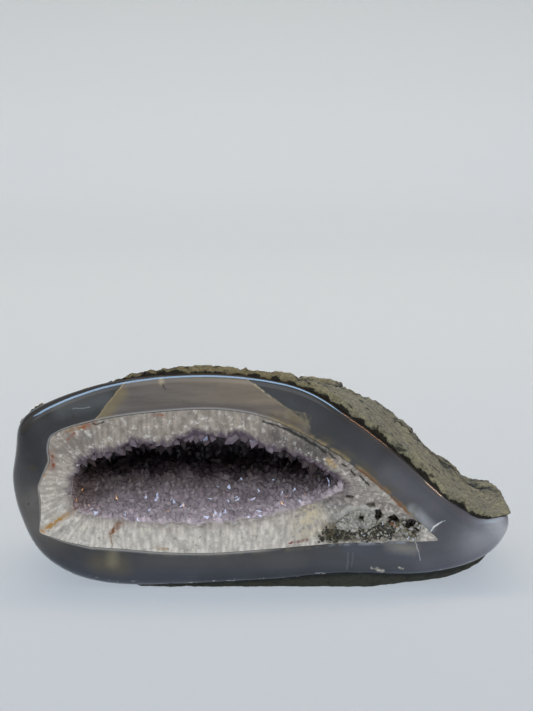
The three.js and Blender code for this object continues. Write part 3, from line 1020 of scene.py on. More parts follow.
PATCH_MARKS = (
    Mark((-71, 103), (-79, 93), 6.5, "#8f8058", 0.8),
    Mark((-68.6, 109), (-83.3, 90.5), 1.2, "#b3a377", 0.9),
    Mark((-50.4, 110.6), (-50.2, 109), 2.3, "#c0b292", 1.0),
    Mark((-49.4, 107.6), (-48.0, 105.4), 0.8, "#2e2822", 0.9),
    Mark((-50, 95), (10, 96), 3.2, "#5d5454", 0.6),
)
# A point on each fracture beside the window in the agate's top, and the way into the window
WINDOW_EDGES = (((-68.6, 109), (0.781, 0, -0.624)), ((-7.7, 110.3), (-0.594, 0, -0.805)))
# Places where the lip has lost its polish: a chip at the top and the rounded tip
DULL = (
    Mark((-67, 112), (-48, 114.5), 6, "#000000", 1.0),
    Mark((108, 38), (126, 39), 20, "#000000", 1.0),
)
DULL_CURVE = 2.5  # draws the dull places in towards their middles
QUARTZ_IOR = 1.544
PATCH_EDGE = (
    Mark((-7.7, 110.3), (4.2, 101.2), 0.7, "#c9bd9c", 0.8),
    Mark((4.2, 101.2), (14, 94.2), 0.7, "#9c9172", 0.7),
    Mark((14, 94.2), (20.5, 93), 0.8, "#857c62", 0.6),
    Mark((14, 92), (21, 90), 4.0, "#7d7459", 0.9),
    Mark((20.5, 93), (23, 86), 0.8, "#857c62", 0.6),
)


def polished_agate(colours):
    """Polished chalcedony: dark, glassy and smoky, paler towards its thin tip, with very faint bands."""
    material, tree, shader = new_finish("polished chalcedony")
    here, flat = flat_place(tree, 1.6)
    axes = add(tree, "SeparateXYZ", {"Vector": here})
    band = add(tree, "Attribute", attribute_name="band").outputs["Fac"]
    clouds = add(tree, "TexNoise", {"Vector": here, "Scale": per(30), "Detail": 4, "Roughness": 0.55})
    cloudy = add(tree, "MapRange", {"Value": clouds, "From": (0.36, 0.64)})
    colour = add(tree, "MixRGB", {"Fac": cloudy, "Color1": colours.agate_dark, "Color2": colours.agate})
    colour = tinted(tree, colour, axes.outputs["X"], (35 * MM, 120 * MM), (0, 0.85), linear("#5f5f6b"))
    colour = tinted(tree, colour, axes.outputs["Z"], (24 * MM, 8 * MM), (0, 0.7), linear("#3d4350"))
    lines = add(tree, "TexNoise", {"W": band, "Scale": 6, "Detail": 3, "Roughness": 0.6},
                noise_dimensions="1D")
    colour = dimmed(tree, colour, lines, (0.3, 0.7), (0.9, 1.1))
    # clouds of the agate, with a painted glow by the quartz's right corner
    colour = marked(tree, colour, flat, AGATE_CLOUDS_AND_GLOW, smoke(tree, here))
    colour = patched(tree, colour, flat, axes, band)
    crumbs = crumbled(tree, here, 5)
    colour = seamed(tree, colour, axes, band, AGATE_SEAMS, crumbs)
    rim = add(tree, "MapRange", {"Value": band, "From": (0.02, 0.11), "To": (0.7, 0)},
              interpolation_type="SMOOTHSTEP")
    left = add(tree, "MapRange", {"Value": axes.outputs["X"], "From": (10 * MM, -4 * MM)})
    pale = add(tree, "Math", {0: rim, 1: left}, operation="MULTIPLY")
    colour = add(tree, "MixRGB", {"Fac": pale, "Color1": colour, "Color2": linear("#b3b1b0")})
    colour = marked(tree, colour, flat, AGATE_STAINS, crumbled(tree, here, 2))
    # thin lines of the agate, with painted highlights
    colour = marked(tree, colour, flat, AGATE_LINES_AND_HIGHLIGHTS)
    colour = chipped(tree, colour, here, axes, band)
    behind = add(tree, "MapRange", {"Value": band, "From": (1.42, 1.6), "To": (0, 0.85)})
    above = add(tree, "MapRange", {"Value": axes.outputs["Z"], "From": (40 * MM, 60 * MM)})
    behind = add(tree, "Math", {0: behind, 1: above}, operation="MULTIPLY")
    colour = add(tree, "MixRGB", {"Fac": behind, "Color1": colour, "Color2": linear("#29221d")})
    dull = add(tree, "Math", {n: streak(tree, flat, mark) for n, mark in enumerate(DULL)}, operation="ADD")
    dull = add(tree, "Math", {0: dull, 1: DULL_CURVE}, operation="POWER", use_clamp=True)
    polish = add(tree, "MapRange", {"Value": dull, "To": (0.07, 0.65)})
    feed(tree, shader, {"Base Color": colour, "Roughness": polish, "IOR": 1.54, "Specular IOR Level": 0.6})
    ripple = add(tree, "TexNoise", {"Vector": here, "Scale": per(16), "Detail": 2})
    bump = add(tree, "Bump", {"Height": ripple, "Strength": 0.06, "Distance": 1 * MM})
    feed(tree, shader, {"Normal": bump})
    return material


def smoke(tree, here):
    """A soft pattern that makes the clouds uneven."""
    pattern = add(tree, "TexNoise", {"Vector": here, "Scale": per(18), "Detail": 3})
    return add(tree, "MapRange", {"Value": pattern, "From": (0.3, 0.6), "To": (0.45, 1.15)})


def chipped(tree, colour, here, axes, band):
    """White chips along the lower lip, where the polish ends."""
    long = add(tree, "VectorMath", {0: here, 1: (0.4, 1, 1)}, operation="MULTIPLY")
    pattern = add(tree, "TexNoise", {"Vector": long, "Scale": per(3.2), "Detail": 4, "Roughness": 0.6})
    chips = add(tree, "MapRange", {"Value": pattern, "From": (0.61, 0.67)})
    at_lip = add(tree, "MapRange", {"Value": band, "From": (1.2, 1.34)})
    before = add(tree, "MapRange", {"Value": band, "From": (1.62, 1.5)})
    low = add(tree, "MapRange", {"Value": axes.outputs["Z"], "From": (14 * MM, 11 * MM)})
    for limit in (at_lip, before, low):
        chips = add(tree, "Math", {0: chips, 1: limit}, operation="MULTIPLY")
    return add(tree, "MixRGB", {"Fac": chips, "Color1": colour, "Color2": linear("#b9bcc0")})


def patched(tree, colour, flat, axes, band):
    """The lighter window in the top of the agate, between two old fractures."""
    mask = add(tree, "MapRange", {"Value": axes.outputs["Z"], "From": (60 * MM, 62 * MM)})
    for point, inward in WINDOW_EDGES:
        offset = add(tree, "VectorMath", {0: flat, 1: on_face(point)}, operation="SUBTRACT")
        away = add(tree, "VectorMath", {0: offset, 1: inward}, operation="DOT_PRODUCT").outputs["Value"]
        side = add(tree, "MapRange", {"Value": away, "From": (0, 0.4 * MM)})
        mask = add(tree, "Math", {0: mask, 1: side}, operation="MULTIPLY")
    ended = add(tree, "MapRange", {"Value": axes.outputs["X"], "From": (24 * MM, 21 * MM)})
    mask = add(tree, "Math", {0: mask, 1: ended}, operation="MULTIPLY")
    across = add(tree, "MapRange", {"Value": axes.outputs["X"], "From": (-60 * MM, 14 * MM)})
    window = add(tree, "MixRGB", {"Fac": across, "Color1": linear("#716a64"), "Color2": linear("#8f826f")})
    long = add(tree, "VectorMath", {0: flat, 1: (0.14, 1, 1)}, operation="MULTIPLY")
    stripes = add(tree, "TexNoise", {"Vector": long, "Scale": per(6), "Detail": 5, "Roughness": 0.6})
    window = dimmed(tree, window, stripes, (0.3, 0.7), (0.68, 1.25))
    window = tinted(tree, window, band, (0.12, 0.3), (0.6, 0), linear("#5f5756"),
                    interpolation_type="SMOOTHSTEP")
    window = marked(tree, window, flat, PATCH_MARKS, smoke(tree, flat))
    colour = add(tree, "MixRGB", {"Fac": mask, "Color1": colour, "Color2": window})
    return marked(tree, colour, flat, PATCH_EDGE, crumbled(tree, flat, 4))


def basalt_crust(colours):
    """Weathered basalt and celadonite: dull olive flakes, black cracks and specks, a dark ragged seam, painted
    shade in the hollows between flakes, and a green-black underside that is partly painted shade.
    """
    material, tree, shader = new_finish("weathered basalt crust")
    here = add(tree, "TexCoord").outputs["Object"]
    axes = add(tree, "SeparateXYZ", {"Vector": here})
    names = ("contact", "relief", "crack")
    marks = [add(tree, "Attribute", attribute_name=name).outputs["Fac"] for name in names]
    contact, relief, crack = marks
    slow = add(tree, "TexNoise", {"Vector": here, "Scale": per(13), "Detail": 5, "Roughness": 0.6})
    grit = add(tree, "TexNoise", {"Vector": here, "Scale": per(1.5), "Detail": 5, "Roughness": 0.7})
    spread = add(tree, "MapRange", {"Value": slow, "From": (0.38, 0.62)})
    colour = add(tree, "MixRGB", {"Fac": spread, "Color1": colours.crust_grey, "Color2": colours.crust})
    left = add(tree, "MapRange", {"Value": axes.outputs["X"], "From": (40 * MM, 0), "To": (0, 0.75)})
    colour = add(tree, "MixRGB", {"Fac": left, "Color1": colour, "Color2": colours.crust_tan})
    stretched = add(tree, "VectorMath", {0: here, 1: (0.75, 1.2, 1.2)}, operation="MULTIPLY")
    blots = add(tree, "TexNoise", {"Vector": stretched, "Scale": per(4.5), "Detail": 5, "Roughness": 0.6})
    black = add(tree, "MapRange", {"Value": blots, "From": (0.585, 0.64), "To": (0, 0.85)})
    colour = tinted(tree, colour, relief, (0.3, 1.2), (0, 0.5), linear("#aaa07f"))
    # painted shade: the hollows of the crust are darker brown the lower they lie
    colour = tinted(tree, colour, relief, (-1.0, -0.2), (0.7, 0), linear("#4b3e2a"),
                    interpolation_type="SMOOTHSTEP")
    colour = dimmed(tree, colour, grit, (0.3, 0.7), (0.4, 1.55))
    colour = add(tree, "MixRGB", {"Fac": black, "Color1": colour, "Color2": linear("#35332e")})
    broken = add(tree, "MapRange", {"Value": blots, "From": (0.4, 0.55), "To": (0.25, 1)})
    split = add(tree, "Math", {0: crack, 1: broken}, operation="MULTIPLY", use_clamp=True)
    colour = add(tree, "MixRGB", {"Fac": split, "Color1": colour, "Color2": linear("#171410")})
    fine = add(tree, "TexNoise", {"Vector": here, "Scale": per(6), "Detail": 6, "Roughness": 0.68})
    seam = add(tree, "Math", {0: fine, 1: -11.0, 2: contact}, operation="MULTIPLY_ADD")
    seam = add(tree, "Math", {0: left, 1: 0.9, 2: seam}, operation="MULTIPLY_ADD")
    colour = tinted(tree, colour, seam, (-3.9, -3.3), (0.96, 0), linear("#1d1a15"))
    # darker green-black towards the base: partly the crust's own colour, partly painted shade on its underside
    colour = tinted(tree, colour, axes.outputs["Z"], (10 * MM, 22 * MM), (0.92, 0), linear("#343835"))
    bump = add(tree, "Bump", {"Height": grit, "Strength": 0.7, "Distance": 0.7 * MM})
    feed(tree, shader, {"Base Color": colour, "Roughness": 0.88, "Specular IOR Level": 0.3, "Normal": bump})
    return material


# Stains on the quartz, on the cut face, in millimetres from the stone's middle
QUARTZ_STAINS = (
    Mark((24, 39), (21, 34), 11, "#dccfab", 0.75),
    Mark((28, 36), (33, 31), 1.6, "#8d7350", 0.8),
    Mark((-105.4, 73), (-105.4, 66), 3.4, "#8b4214", 1.0),
    Mark((-107, 66), (-110, 61), 2.0, "#b0853f", 0.9),
    Mark((-98, 83.8), (-88, 86.6), 1.5, "#9a6f3c", 0.8),
    Mark((-89, 86.2), (-84.2, 88), 2.2, "#a5551f", 1.0),
    Mark((-97, 80), (-94, 82.5), 1.8, "#8a4526", 0.8),
    Mark((-55, 92), (-49.5, 92.2), 1.2, "#a04a1c", 1.0),
    Mark((-113, 30.8), (-97, 41.5), 2.2, "#b98c44", 0.95),
    Mark((-97, 41.8), (-91, 47), 2.6, "#8d5f30", 0.75),
    Mark((-77.4, 30), (-73, 35), 2.4, "#84501f", 1.0),
    Mark((-73.3, 34.5), (-67, 42), 3.4, "#7d5b40", 0.7),
    Mark((-77, 30.5), (-76.6, 21), 0.7, "#94754c", 0.7),
    Mark((-55, 22.5), (-48, 22), 1.1, "#b08c50", 0.7),
    Mark((13, 25.3), (17, 25.9), 1.2, "#7c2512", 1.0),
    Mark((18, 26.2), (21.8, 26.9), 1.5, "#7c2512", 1.0),
    Mark((32.5, 69), (35, 66), 2.4, "#d8b678", 0.8),
    Mark((65, 35.3), (66.6, 33.6), 1.2, "#a9651f", 1.0),
    Mark((34, 30), (60, 31.5), 5.5, "#6b6247", 0.8),
    Mark((58, 31), (72, 32), 4.0, "#8b8670", 0.6),
)
QUARTZ_LINES = (
    Mark((-84.3, 87.6), (-79, 88.6), 0.7, "#171310", 0.95),
    Mark((-93, 66), (-89, 67.5), 0.5, "#f4f4f2", 0.9),
    Mark((31, 37), (36, 27), 0.5, "#9a8a62", 0.7),
)
QUARTZ_SEAMS = (
    Seam(8, 50, 58, 90, 0.16, "#4d473d", 0.7),
    Seam(40, 76, 36, 66, 0.08, "#8a5526", 0.9),
)
QUARTZ_CRACK = (
    Mark((0, 89.0), (10.8, 85.4), 0.9, "#14110e", 1.0),
    Mark((10.8, 85.4), (21, 80.0), 1.5, "#14110e", 1.0),
    Mark((21, 80.0), (31.5, 73.2), 1.6, "#14110e", 1.0),
    Mark((33, 72.0), (36, 70.0), 0.9, "#1d1711", 1.0),
    Mark((39.5, 67.4), (41.5, 66.0), 0.8, "#1d1711", 1.0),
    Mark((44, 63.6), (46, 61.4), 0.9, "#1d1711", 1.0),
    Mark((48.5, 60.5), (52.5, 56.4), 0.9, "#1d1711", 1.0),
)
QUARTZ_CLOUDS = (
    Mark((4, 83), (29, 71), 9.5, "#635c5a", 0.85),
    Mark((-98, 74), (-86, 80), 8, "#8d867f", 0.6),
    Mark((58, 47), (74, 37), 5, "#94877f", 0.6),
    Mark((30, 46), (40, 44), 6, "#8f8e8b", 0.6),
)


def columnar_quartz(colours):
    """Milky quartz sawn across its columns: sugary white, greyer above, violet by the mouth, with painted shade
    deep in the cavity and in the sunken pocket.
    """
    material, tree, shader = new_finish("milky columnar quartz")
    here, flat = flat_place(tree, 2.4)
    axes = add(tree, "SeparateXYZ", {"Vector": here})
    names = ("rim", "shade", "sunken", "fan", "inside")
    marks = [add(tree, "Attribute", attribute_name=name).outputs["Fac"] for name in names]
    rim, shade, sunken, fibrous, inside = marks
    along = add(tree, "Attribute", attribute_name="grain").outputs["Vector"]
    up = add(tree, "MapRange", {"Value": axes.outputs["Z"], "From": (28 * MM, 76 * MM)})
    colour = add(tree, "MixRGB", {"Fac": up, "Color1": colours.quartz, "Color2": colours.quartz_grey})
    fibres = add(tree, "TexNoise", {"Vector": along, "Scale": 1, "Detail": 4, "Roughness": 0.6,
                                    "Distortion": 0.6})
    colour = marked(tree, colour, flat, QUARTZ_CLOUDS, smoke(tree, here))
    columns = add(tree, "TexVoronoi", {"Vector": along, "Scale": 1}).outputs["Distance"]
    colour = dimmed(tree, colour, columns, (0.15, 0.75), (1.16, 0.72))
    grains = add(tree, "TexVoronoi", {"Vector": here, "Scale": per(2.2)}).outputs["Distance"]
    right = add(tree, "MapRange", {"Value": axes.outputs["X"], "From": (0, 40 * MM)})
    grains = add(tree, "Math", {0: grains, 1: right}, operation="MULTIPLY")
    colour = dimmed(tree, colour, grains, (0.1, 0.75), (1.06, 0.62))
    sugar = add(tree, "TexNoise", {"Vector": here, "Scale": per(2.6), "Detail": 5, "Roughness": 0.7})
    colour = dimmed(tree, colour, sugar, (0.3, 0.68), (0.8, 1.12))
    colour = tinted(tree, colour, sugar, (0.55, 0.66), (0, 0.75), linear("#f2f0ec"))
    colour = tinted(tree, colour, sugar, (0.42, 0.33), (0, 0.5), linear("#7b7168"))
    dome = add(tree, "Math", {0: fibrous, 1: 0.45}, operation="MULTIPLY")
    colour = add(tree, "MixRGB", {"Fac": dome, "Color1": colour, "Color2": linear("#d2d2cc")})
    colour = dirtied(tree, colour, here)
    violet_at = add(tree, "Math", {0: fibres, 1: 0.5, 2: rim}, operation="MULTIPLY_ADD")
    violet = add(tree, "MapRange", {"Value": violet_at, "From": (0.96, 1.24), "To": (0, 0.95)})
    upper = add(tree, "MapRange", {"Value": axes.outputs["Z"], "From": (46 * MM, 62 * MM), "To": (0.35, 1)})
    violet = add(tree, "Math", {0: violet, 1: upper}, operation="MULTIPLY")
    colour = add(tree, "MixRGB", {"Fac": violet, "Color1": colour, "Color2": colours.violet})
    lower = add(tree, "MapRange", {"Value": axes.outputs["Z"], "From": (64 * MM, 54 * MM)})
    low_wall = add(tree, "Math", {0: inside, 1: lower}, operation="MULTIPLY")
    colour = add(tree, "MixRGB", {"Fac": low_wall, "Color1": colour, "Color2": linear("#d8cfd4")})
    # painted shade of the cavity's wall, brown and then nearly black towards its roof
    colour = painted_cavity_shade(tree, colour, shade)
    colour = marked(tree, colour, flat, QUARTZ_STAINS, crumbled(tree, here, 2.6))
    colour = marked(tree, colour, flat, QUARTZ_LINES)
    colour = seamed(tree, colour, axes, rim, QUARTZ_SEAMS, crumbled(tree, here, 4))
    colour = marked(tree, colour, flat, QUARTZ_CRACK)
    # painted shade: the sunken pocket and its holes are darker the deeper they lie
    colour = tinted(tree, colour, sunken, (0.3, 0.75), (0, 0.92), linear("#2a251d"))
    bump = add(tree, "Bump", {"Height": sugar, "Strength": 0.35, "Distance": 0.5 * MM})
    matt = add(tree, "MapRange", {"Value": inside, "To": (0.36, 0.95)})
    feed(tree, shader, {"Base Color": colour, "Roughness": matt, "IOR": QUARTZ_IOR, "Normal": bump})
    return material


def painted_cavity_shade(tree, colour, gloom):
    """Painted shade of the cavity: the colour turns brown and then nearly black towards its roof."""
    colour = tinted(tree, colour, gloom, (0.05, 0.6), (0, 0.8), linear("#5d4e4e"))
    return tinted(tree, colour, gloom, (0.45, 1.0), (0, 0.95), linear("#100c12"))


def dirtied(tree, colour, here):
    """Olive and black dirt between white lumps in the foot of the pocket."""
    pocket = add(tree, "Attribute", attribute_name="pocket").outputs["Fac"]
    dirt = add(tree, "TexNoise", {"Vector": here, "Scale": per(3.4), "Detail": 5, "Roughness": 0.68})
    olive = add(tree, "MapRange", {"Value": dirt, "From": (0.66, 0.54), "To": (0, 0.9)})
    olive = add(tree, "Math", {0: olive, 1: pocket}, operation="MULTIPLY")
    colour = add(tree, "MixRGB", {"Fac": olive, "Color1": colour, "Color2": linear("#6f6a52")})
    black = add(tree, "MapRange", {"Value": dirt, "From": (0.52, 0.45), "To": (0, 0.95)})
    black = add(tree, "Math", {0: black, 1: pocket}, operation="MULTIPLY")
    return add(tree, "MixRGB", {"Fac": black, "Color1": colour, "Color2": linear("#211d15")})


# Crystals that grew freely: colours of root and tip, what their depth absorbs, clearness, roughness and gloss
Crystal = namedtuple("Crystal", "name root tip absorbed density transmission roughness gloss", defaults=[0.5])
# Glassy and nearly white
PALE_AMETHYST = Crystal("pale amethyst", "#e6dde4", "#e2d6e2", "#d4c6d8", 25, 0.2, 0.05)
# Clearer, violet in its depth, with little gloss in the dark
DEEP_AMETHYST = Crystal("deep amethyst", "#c4b8c2", "#b9abbe", "#8a6f9a", 50, 0.3, 0.08, 0.15)
# Dark and matt from the saw
SAWN_AMETHYST = Crystal("sawn amethyst", "#463841", "#271c25", "#9a7fa6", 60, 0.1, 0.45, 0.12)
# Small, clear and white
POCKET_QUARTZ = Crystal("pocket quartz", "#d3d1cc", "#e4e2de", "#d8d6d0", 40, 0.45, 0.08)
# Silky greyish white
FIBROUS_QUARTZ = Crystal("fibrous quartz", "#a3a094", "#cbcac4", "#d8d6d0", 20, 0.15, 0.25)


def clear_crystal(kind):
    """Quartz that grew freely: glassy flat faces, see-through, with its colour in its depth."""
    material, tree, shader = new_finish(kind.name)
    names = ("tip", "tone", "gloom")
    marks = [add(tree, "Attribute", attribute_name=name).outputs["Fac"] for name in names]
    tip, tone, gloom = marks
    colour = add(tree, "MixRGB", {"Fac": tip, "Color1": linear(kind.root), "Color2": linear(kind.tip)})
    here = add(tree, "TexCoord").outputs["Object"]
    axes = add(tree, "SeparateXYZ", {"Vector": here})
    varied = add(tree, "MapRange", {"Value": tone, "To": (0.7, 1.18)})
    colour = add(tree, "VectorMath", {0: colour, "Scale": varied}, operation="SCALE")
    colour = tinted(tree, colour, axes.outputs["X"], (-80 * MM, -94 * MM), (0, 0.6), linear("#7a5c46"))
    # painted shade, brown and then nearly black towards the cavity's roof
    colour = painted_cavity_shade(tree, colour, gloom)
    feed(tree, shader, {"Base Color": colour, "Roughness": kind.roughness, "IOR": QUARTZ_IOR,
                        "Specular IOR Level": kind.gloss, "Transmission Weight": kind.transmission})
    volume = add(tree, "VolumeAbsorption", {"Color": linear(kind.absorbed), "Density": kind.density})
    output = tree.nodes["Material Output"]
    tree.links.new(volume.outputs["Volume"], output.inputs["Volume"])
    return material


def pocket_grain():
    """Grains of dark green celadonite and iron oxide, dull, in the open pocket."""
    material, tree, shader = new_finish("celadonite grains")
    tone = add(tree, "Attribute", attribute_name="tone").outputs["Fac"]
    colour = add(tree, "MixRGB", {"Fac": tone, "Color1": linear("#171813"), "Color2": linear("#4f4c36")})
    feed(tree, shader, {"Base Color": colour, "Roughness": 0.5})
    return material


def matt_paper(colour):
    """Smooth matt paper without a gloss."""
    material, tree, shader = new_finish("matt paper")
    feed(tree, shader, {"Base Color": colour, "Roughness": 0.9, "Specular IOR Level": 0.2})
    return material


# Growth and marks of single pieces

SAW_CLEAR = 3.2 * MM  # depth behind the cut face from which whole points grow
FLOOR_DARK = 0.5  # the pale points grow below this share of the painted shade and below this height
FLOOR_Z = 60 * MM
TOOTH_STEP = 4  # stations from one sawn point at the mouth to the next
TOOTH_LOWEST = -0.15  # how far round the mouth they go, as the share of a ray that points up
TOOTH_UPPER = (-0.2, 0.6)  # shares between which they grow from their least size to their full size
TOOTH_SCALE = (0.4, 1.0)
TOOTH_LEAN = np.array([0, 0.15, 0])  # how much they lean into the cavity
TOOTH_ROOT = 1 * MM
TOOTH_DEPTH = mm(3.6, 6.5)
WHITE_BELOW = 36 * MM  # the pocket's white crystals grow below this height and right of this x
WHITE_FROM = 44 * MM
WHITE_TRIES = 260
GRAIN_TRIES = 420
DARK_RAGGED_SIZE = 5 * MM
DARK_RAGGED = 2.4 * MM
FAN_TURN = (-1.3, 0.95)  # how far the fan opens to the left and to the right, in radians
FAN_STARTS = (0.15, 0.7)  # where its needles begin, as shares of its reach
FAN_LEAN = -0.22  # how much they lean towards the cut face
FAN_RIM_DEPTH = 1.6 * MM
FAN_FOOT = 3 * MM  # the dome of fibres begins this far above the fan's root and ends this far right of it
FAN_RIGHT = 9 * MM
FAN_RAGGED_SIZE = 5 * MM
FAN_RAGGED = 1.5 * MM
NEEDLE_MIDDLE = 2.5 * MM
HOLE_CLEAR = 1.2  # needles keep this far from a hole's middle, in half sizes
COLUMN_WIDTH = 2.1 * MM
COLUMN_LENGTH = 7 * MM
FIBRE_WIDTH = 0.9 * MM
POCKET_DEEPEST = 7 * MM
POCKET_FADE = 1.4  # share of the pocket's width at which its dirt ends
DIRT_RAGGED_SIZE = 6 * MM
DIRT_RAGGED = 2 * MM
DIRT_FADE = mm(2.5, 7.5)
GLINTING = "glinting crystals"


def fan_needles(draws):
    """Needles of quartz that spread from one root, deep there and near the cut face at the rim."""
    turn = draws.uniform(*FAN_TURN, FAN_NEEDLES)
    share = draws.uniform(*FAN_STARTS, FAN_NEEDLES)
    way = np.stack([np.sin(turn), np.full(FAN_NEEDLES, FAN_LEAN), np.cos(turn)], axis=1)
    places = np.array([FAN[0] * MM, CUT, FAN[1] * MM]) + way * (share * FAN_REACH)[:, None]
    places[:, 1] = CUT + mix(FAN_DEPTH, FAN_RIM_DEPTH, share)
    middle = places + way * NEEDLE_MIDDLE
    clear = np.ones(FAN_NEEDLES, bool)
    for hole in POCKET_HOLES:
        clear &= from_hole(middle[:, 0], middle[:, 2], hole) > HOLE_CLEAR
    needles = Growth(0, mm(0.4, 0.8), mm(1.8, 4.0), tilt=math.radians(20))
    return grown(places[clear], way[clear], needles, draws)


def grow(name, rows, normals, allowed, growth, draws, material, tries=TRIES):
    picks = scattered(rows, allowed, growth.spacing, draws, tries)
    bm = grown(rows.reshape(-1, 3)[picks], normals.reshape(-1, 3)[picks], growth, draws)
    lit_crystals(make_piece(name, sawn(bm), material, smooth=False))


def lit_crystals(piece):
    """Puts a piece among the crystals that the windows glint on."""
    bpy.data.collections[GLINTING].objects.link(piece)


def sunkenness(rows, first_cavity):
    """Share of the pocket's depth at each point of the cut face, by which the finish paints shade into its
    hollows.
    """
    made = np.clip((rows[:, :, 1] - CUT) / POCKET_DEEPEST, 0, 1)
    made[:len(WALL_DEPTHS)] = 0
    made[first_cavity:] = 0
    return made * (1 - smoothstep(from_line(rows, POCKET_LINE), POCKET_WIDTH, POCKET_WIDTH * POCKET_FADE))


def grain(rows):
    """Coordinates that run round the ring in column widths and along the columns in column lengths."""
    turn = np.linspace(0, 2 * math.pi, INNER_STATIONS, endpoint=False)
    girth = np.linalg.norm(np.diff(rows[len(WALL_DEPTHS)], axis=0), axis=1).sum()
    radius = girth / (2 * math.pi) / COLUMN_WIDTH
    step = np.linalg.norm(np.diff(rows, axis=0, prepend=rows[:1]), axis=2)
    along = np.cumsum(step, axis=0) / COLUMN_LENGTH
    made = np.empty_like(rows)
    made[:, :, 0] = radius * np.cos(turn)
    made[:, :, 1] = radius * np.sin(turn)
    made[:, :, 2] = along
    offset = rows[:, :, [0, 2]] - np.array(FAN) * MM
    spread = np.arctan2(offset[:, :, 0], offset[:, :, 1]) * FAN_REACH / FIBRE_WIDTH
    fibres = np.stack([spread, np.zeros_like(spread), np.linalg.norm(offset, axis=2) / COLUMN_LENGTH], axis=2)
    return np.where(in_fan(rows)[:, :, None], fibres, made)


def in_fan(rows):
    """True on the dome of fibres in the pocket, which has a ragged outline."""
    offset = rows[:, :, [0, 2]] - np.array(FAN) * MM
    away = np.linalg.norm(offset, axis=2) + field(rows, FAN_RAGGED_SIZE, 2) * FAN_RAGGED
    return (away < FAN_REACH) & (offset[:, :, 1] > FAN_FOOT) & (offset[:, :, 0] < FAN_RIGHT)


def in_pocket(rows, first_cavity):
    """1 in the dirty foot of the pocket, fading to 0 round it."""
    away = from_line(rows, POCKET_FOOT) + field(rows, DIRT_RAGGED_SIZE, 3) * DIRT_RAGGED
    made = 1 - smoothstep(away, *DIRT_FADE)
    made[first_cavity:] = 0
    return made


# Studio

SWEEP = {"width": 16.0, "front": -8.0, "bend": 1.6, "radius": 0.9, "top": 3.5}
SWEEP_STEPS = 48


def paper_sweep(colour):
    """A pale sheet that lies under the stone and curves up far behind it."""
    bm = bmesh.new()
    bmesh.ops.create_grid(bm, x_segments=1, y_segments=SWEEP_STEPS, size=0.5)
    flat = SWEEP["bend"] - SWEEP["front"]
    curve = SWEEP["radius"] * math.pi / 2
    whole = flat + curve + SWEEP["top"]
    for vert in bm.verts:
        run = (vert.co.y + 0.5) * whole
        turn = min(max(run - flat, 0) / SWEEP["radius"], math.pi / 2)
        y = SWEEP["front"] + min(run, flat) + SWEEP["radius"] * math.sin(turn)
        z = SWEEP["radius"] * (1 - math.cos(turn)) + max(run - flat - curve, 0)
        vert.co = (vert.co.x * SWEEP["width"], y, z)
    for face in bm.faces:
        face.smooth = True
    mesh = bpy.data.meshes.new("paper")
    bm.to_mesh(mesh)
    bm.free()
    mesh.materials.append(matt_paper(colour))
    sheet = bpy.data.objects.new("paper", mesh)
    bpy.context.scene.collection.objects.link(sheet)
    return sheet


AIM = Vector((0, 0, 0.05))
WALL = Vector((0, 2.2, 0.1))  # the part of the paper behind the stone that the camera sees
SUN_TILT = math.radians(25)


def area_light(name, spot, size, power, code, aim=AIM):
    data = bpy.data.lights.new(name, "AREA")
    data.shape = "RECTANGLE"
    data.size, data.size_y = size
    data.energy = power
    data.color = linear(code)[:3]
    light = bpy.data.objects.new(name, data)
    light.location = spot
    light.rotation_euler = (aim - Vector(spot)).to_track_quat("-Z", "Y").to_euler()
    bpy.context.scene.collection.objects.link(light)
    return light


def lights(studio, sheet):
    area_light("overhead", (-0.15, -1.0, 1.45), (3.0, 1.8), studio.overhead, "#e6effc")
    strip = area_light("strip", (-0.1, 0.25, 1.5), (3.6, 0.55), studio.strip, "#a8d0f8")
    strip.visible_diffuse = False
    area_light("lamp", (0.96, 0.58, 0.78), (0.03, 0.2), studio.lamp, "#ffb27a")
    area_light("star lamp", (1.203, 0.209, 0.667), (0.02, 0.02), studio.lamp / 2, "#ffd9b0")
    crystals = bpy.data.collections.new(GLINTING)
    windows = (("left window", (-1.2, -1.5, 1.3), (1.2, 1.2), studio.glints, "#b8d4ff"),
               ("warm window", (0.9, -1.5, 1.2), (0.4, 0.4), studio.glints / 6, "#ffb45c"))
    for settings in windows:
        window = area_light(*settings)
        window.visible_diffuse = False
        window.light_linking.receiver_collection = crystals
    paper = bpy.data.collections.new("paper only")
    paper.objects.link(sheet)
    daylight = bpy.data.objects.new("paper light", bpy.data.lights.new("paper light", "SUN"))
    daylight.data.energy = studio.paper
    daylight.data.color = linear("#f3f5f8")[:3]
    daylight.rotation_euler = (SUN_TILT, 0, 0)
    bpy.context.scene.collection.objects.link(daylight)
    backdrop = area_light("backdrop", (0, 0.5, 2.2), (3.0, 1.0), studio.backdrop, "#ffdca8", WALL)
    for light in (daylight, backdrop):
        light.light_linking.receiver_collection = paper
        light.light_linking.blocker_collection = paper
    world = bpy.data.worlds.new("room")
    world.use_nodes = True
    feed(world.node_tree, world.node_tree.nodes["Background"],
         {"Color": linear("#f2ece3"), "Strength": studio.room})
    bpy.context.scene.world = world
    bpy.context.scene.view_settings.view_transform = "Standard"


CAMERA_SPOT = (1.6 * MM, -663 * MM, 256.5 * MM)
CAMERA_DOWN = math.radians(12.2)
SENSOR_WIDTH = 36


def camera(lens):
    data = bpy.data.cameras.new("camera")
    data.lens = lens
    data.sensor_width = SENSOR_WIDTH
    viewer = bpy.data.objects.new("camera", data)
    viewer.location = CAMERA_SPOT
    viewer.rotation_euler = (math.pi / 2 - CAMERA_DOWN, 0, 0)
    bpy.context.scene.collection.objects.link(viewer)
    bpy.context.scene.camera = viewer


# Settings that a user would change

def colour_property(name, description, code):
    return FloatVectorProperty(name=name, description=description, default=linear(code), size=4,
                               min=0, max=1, subtype="COLOR")


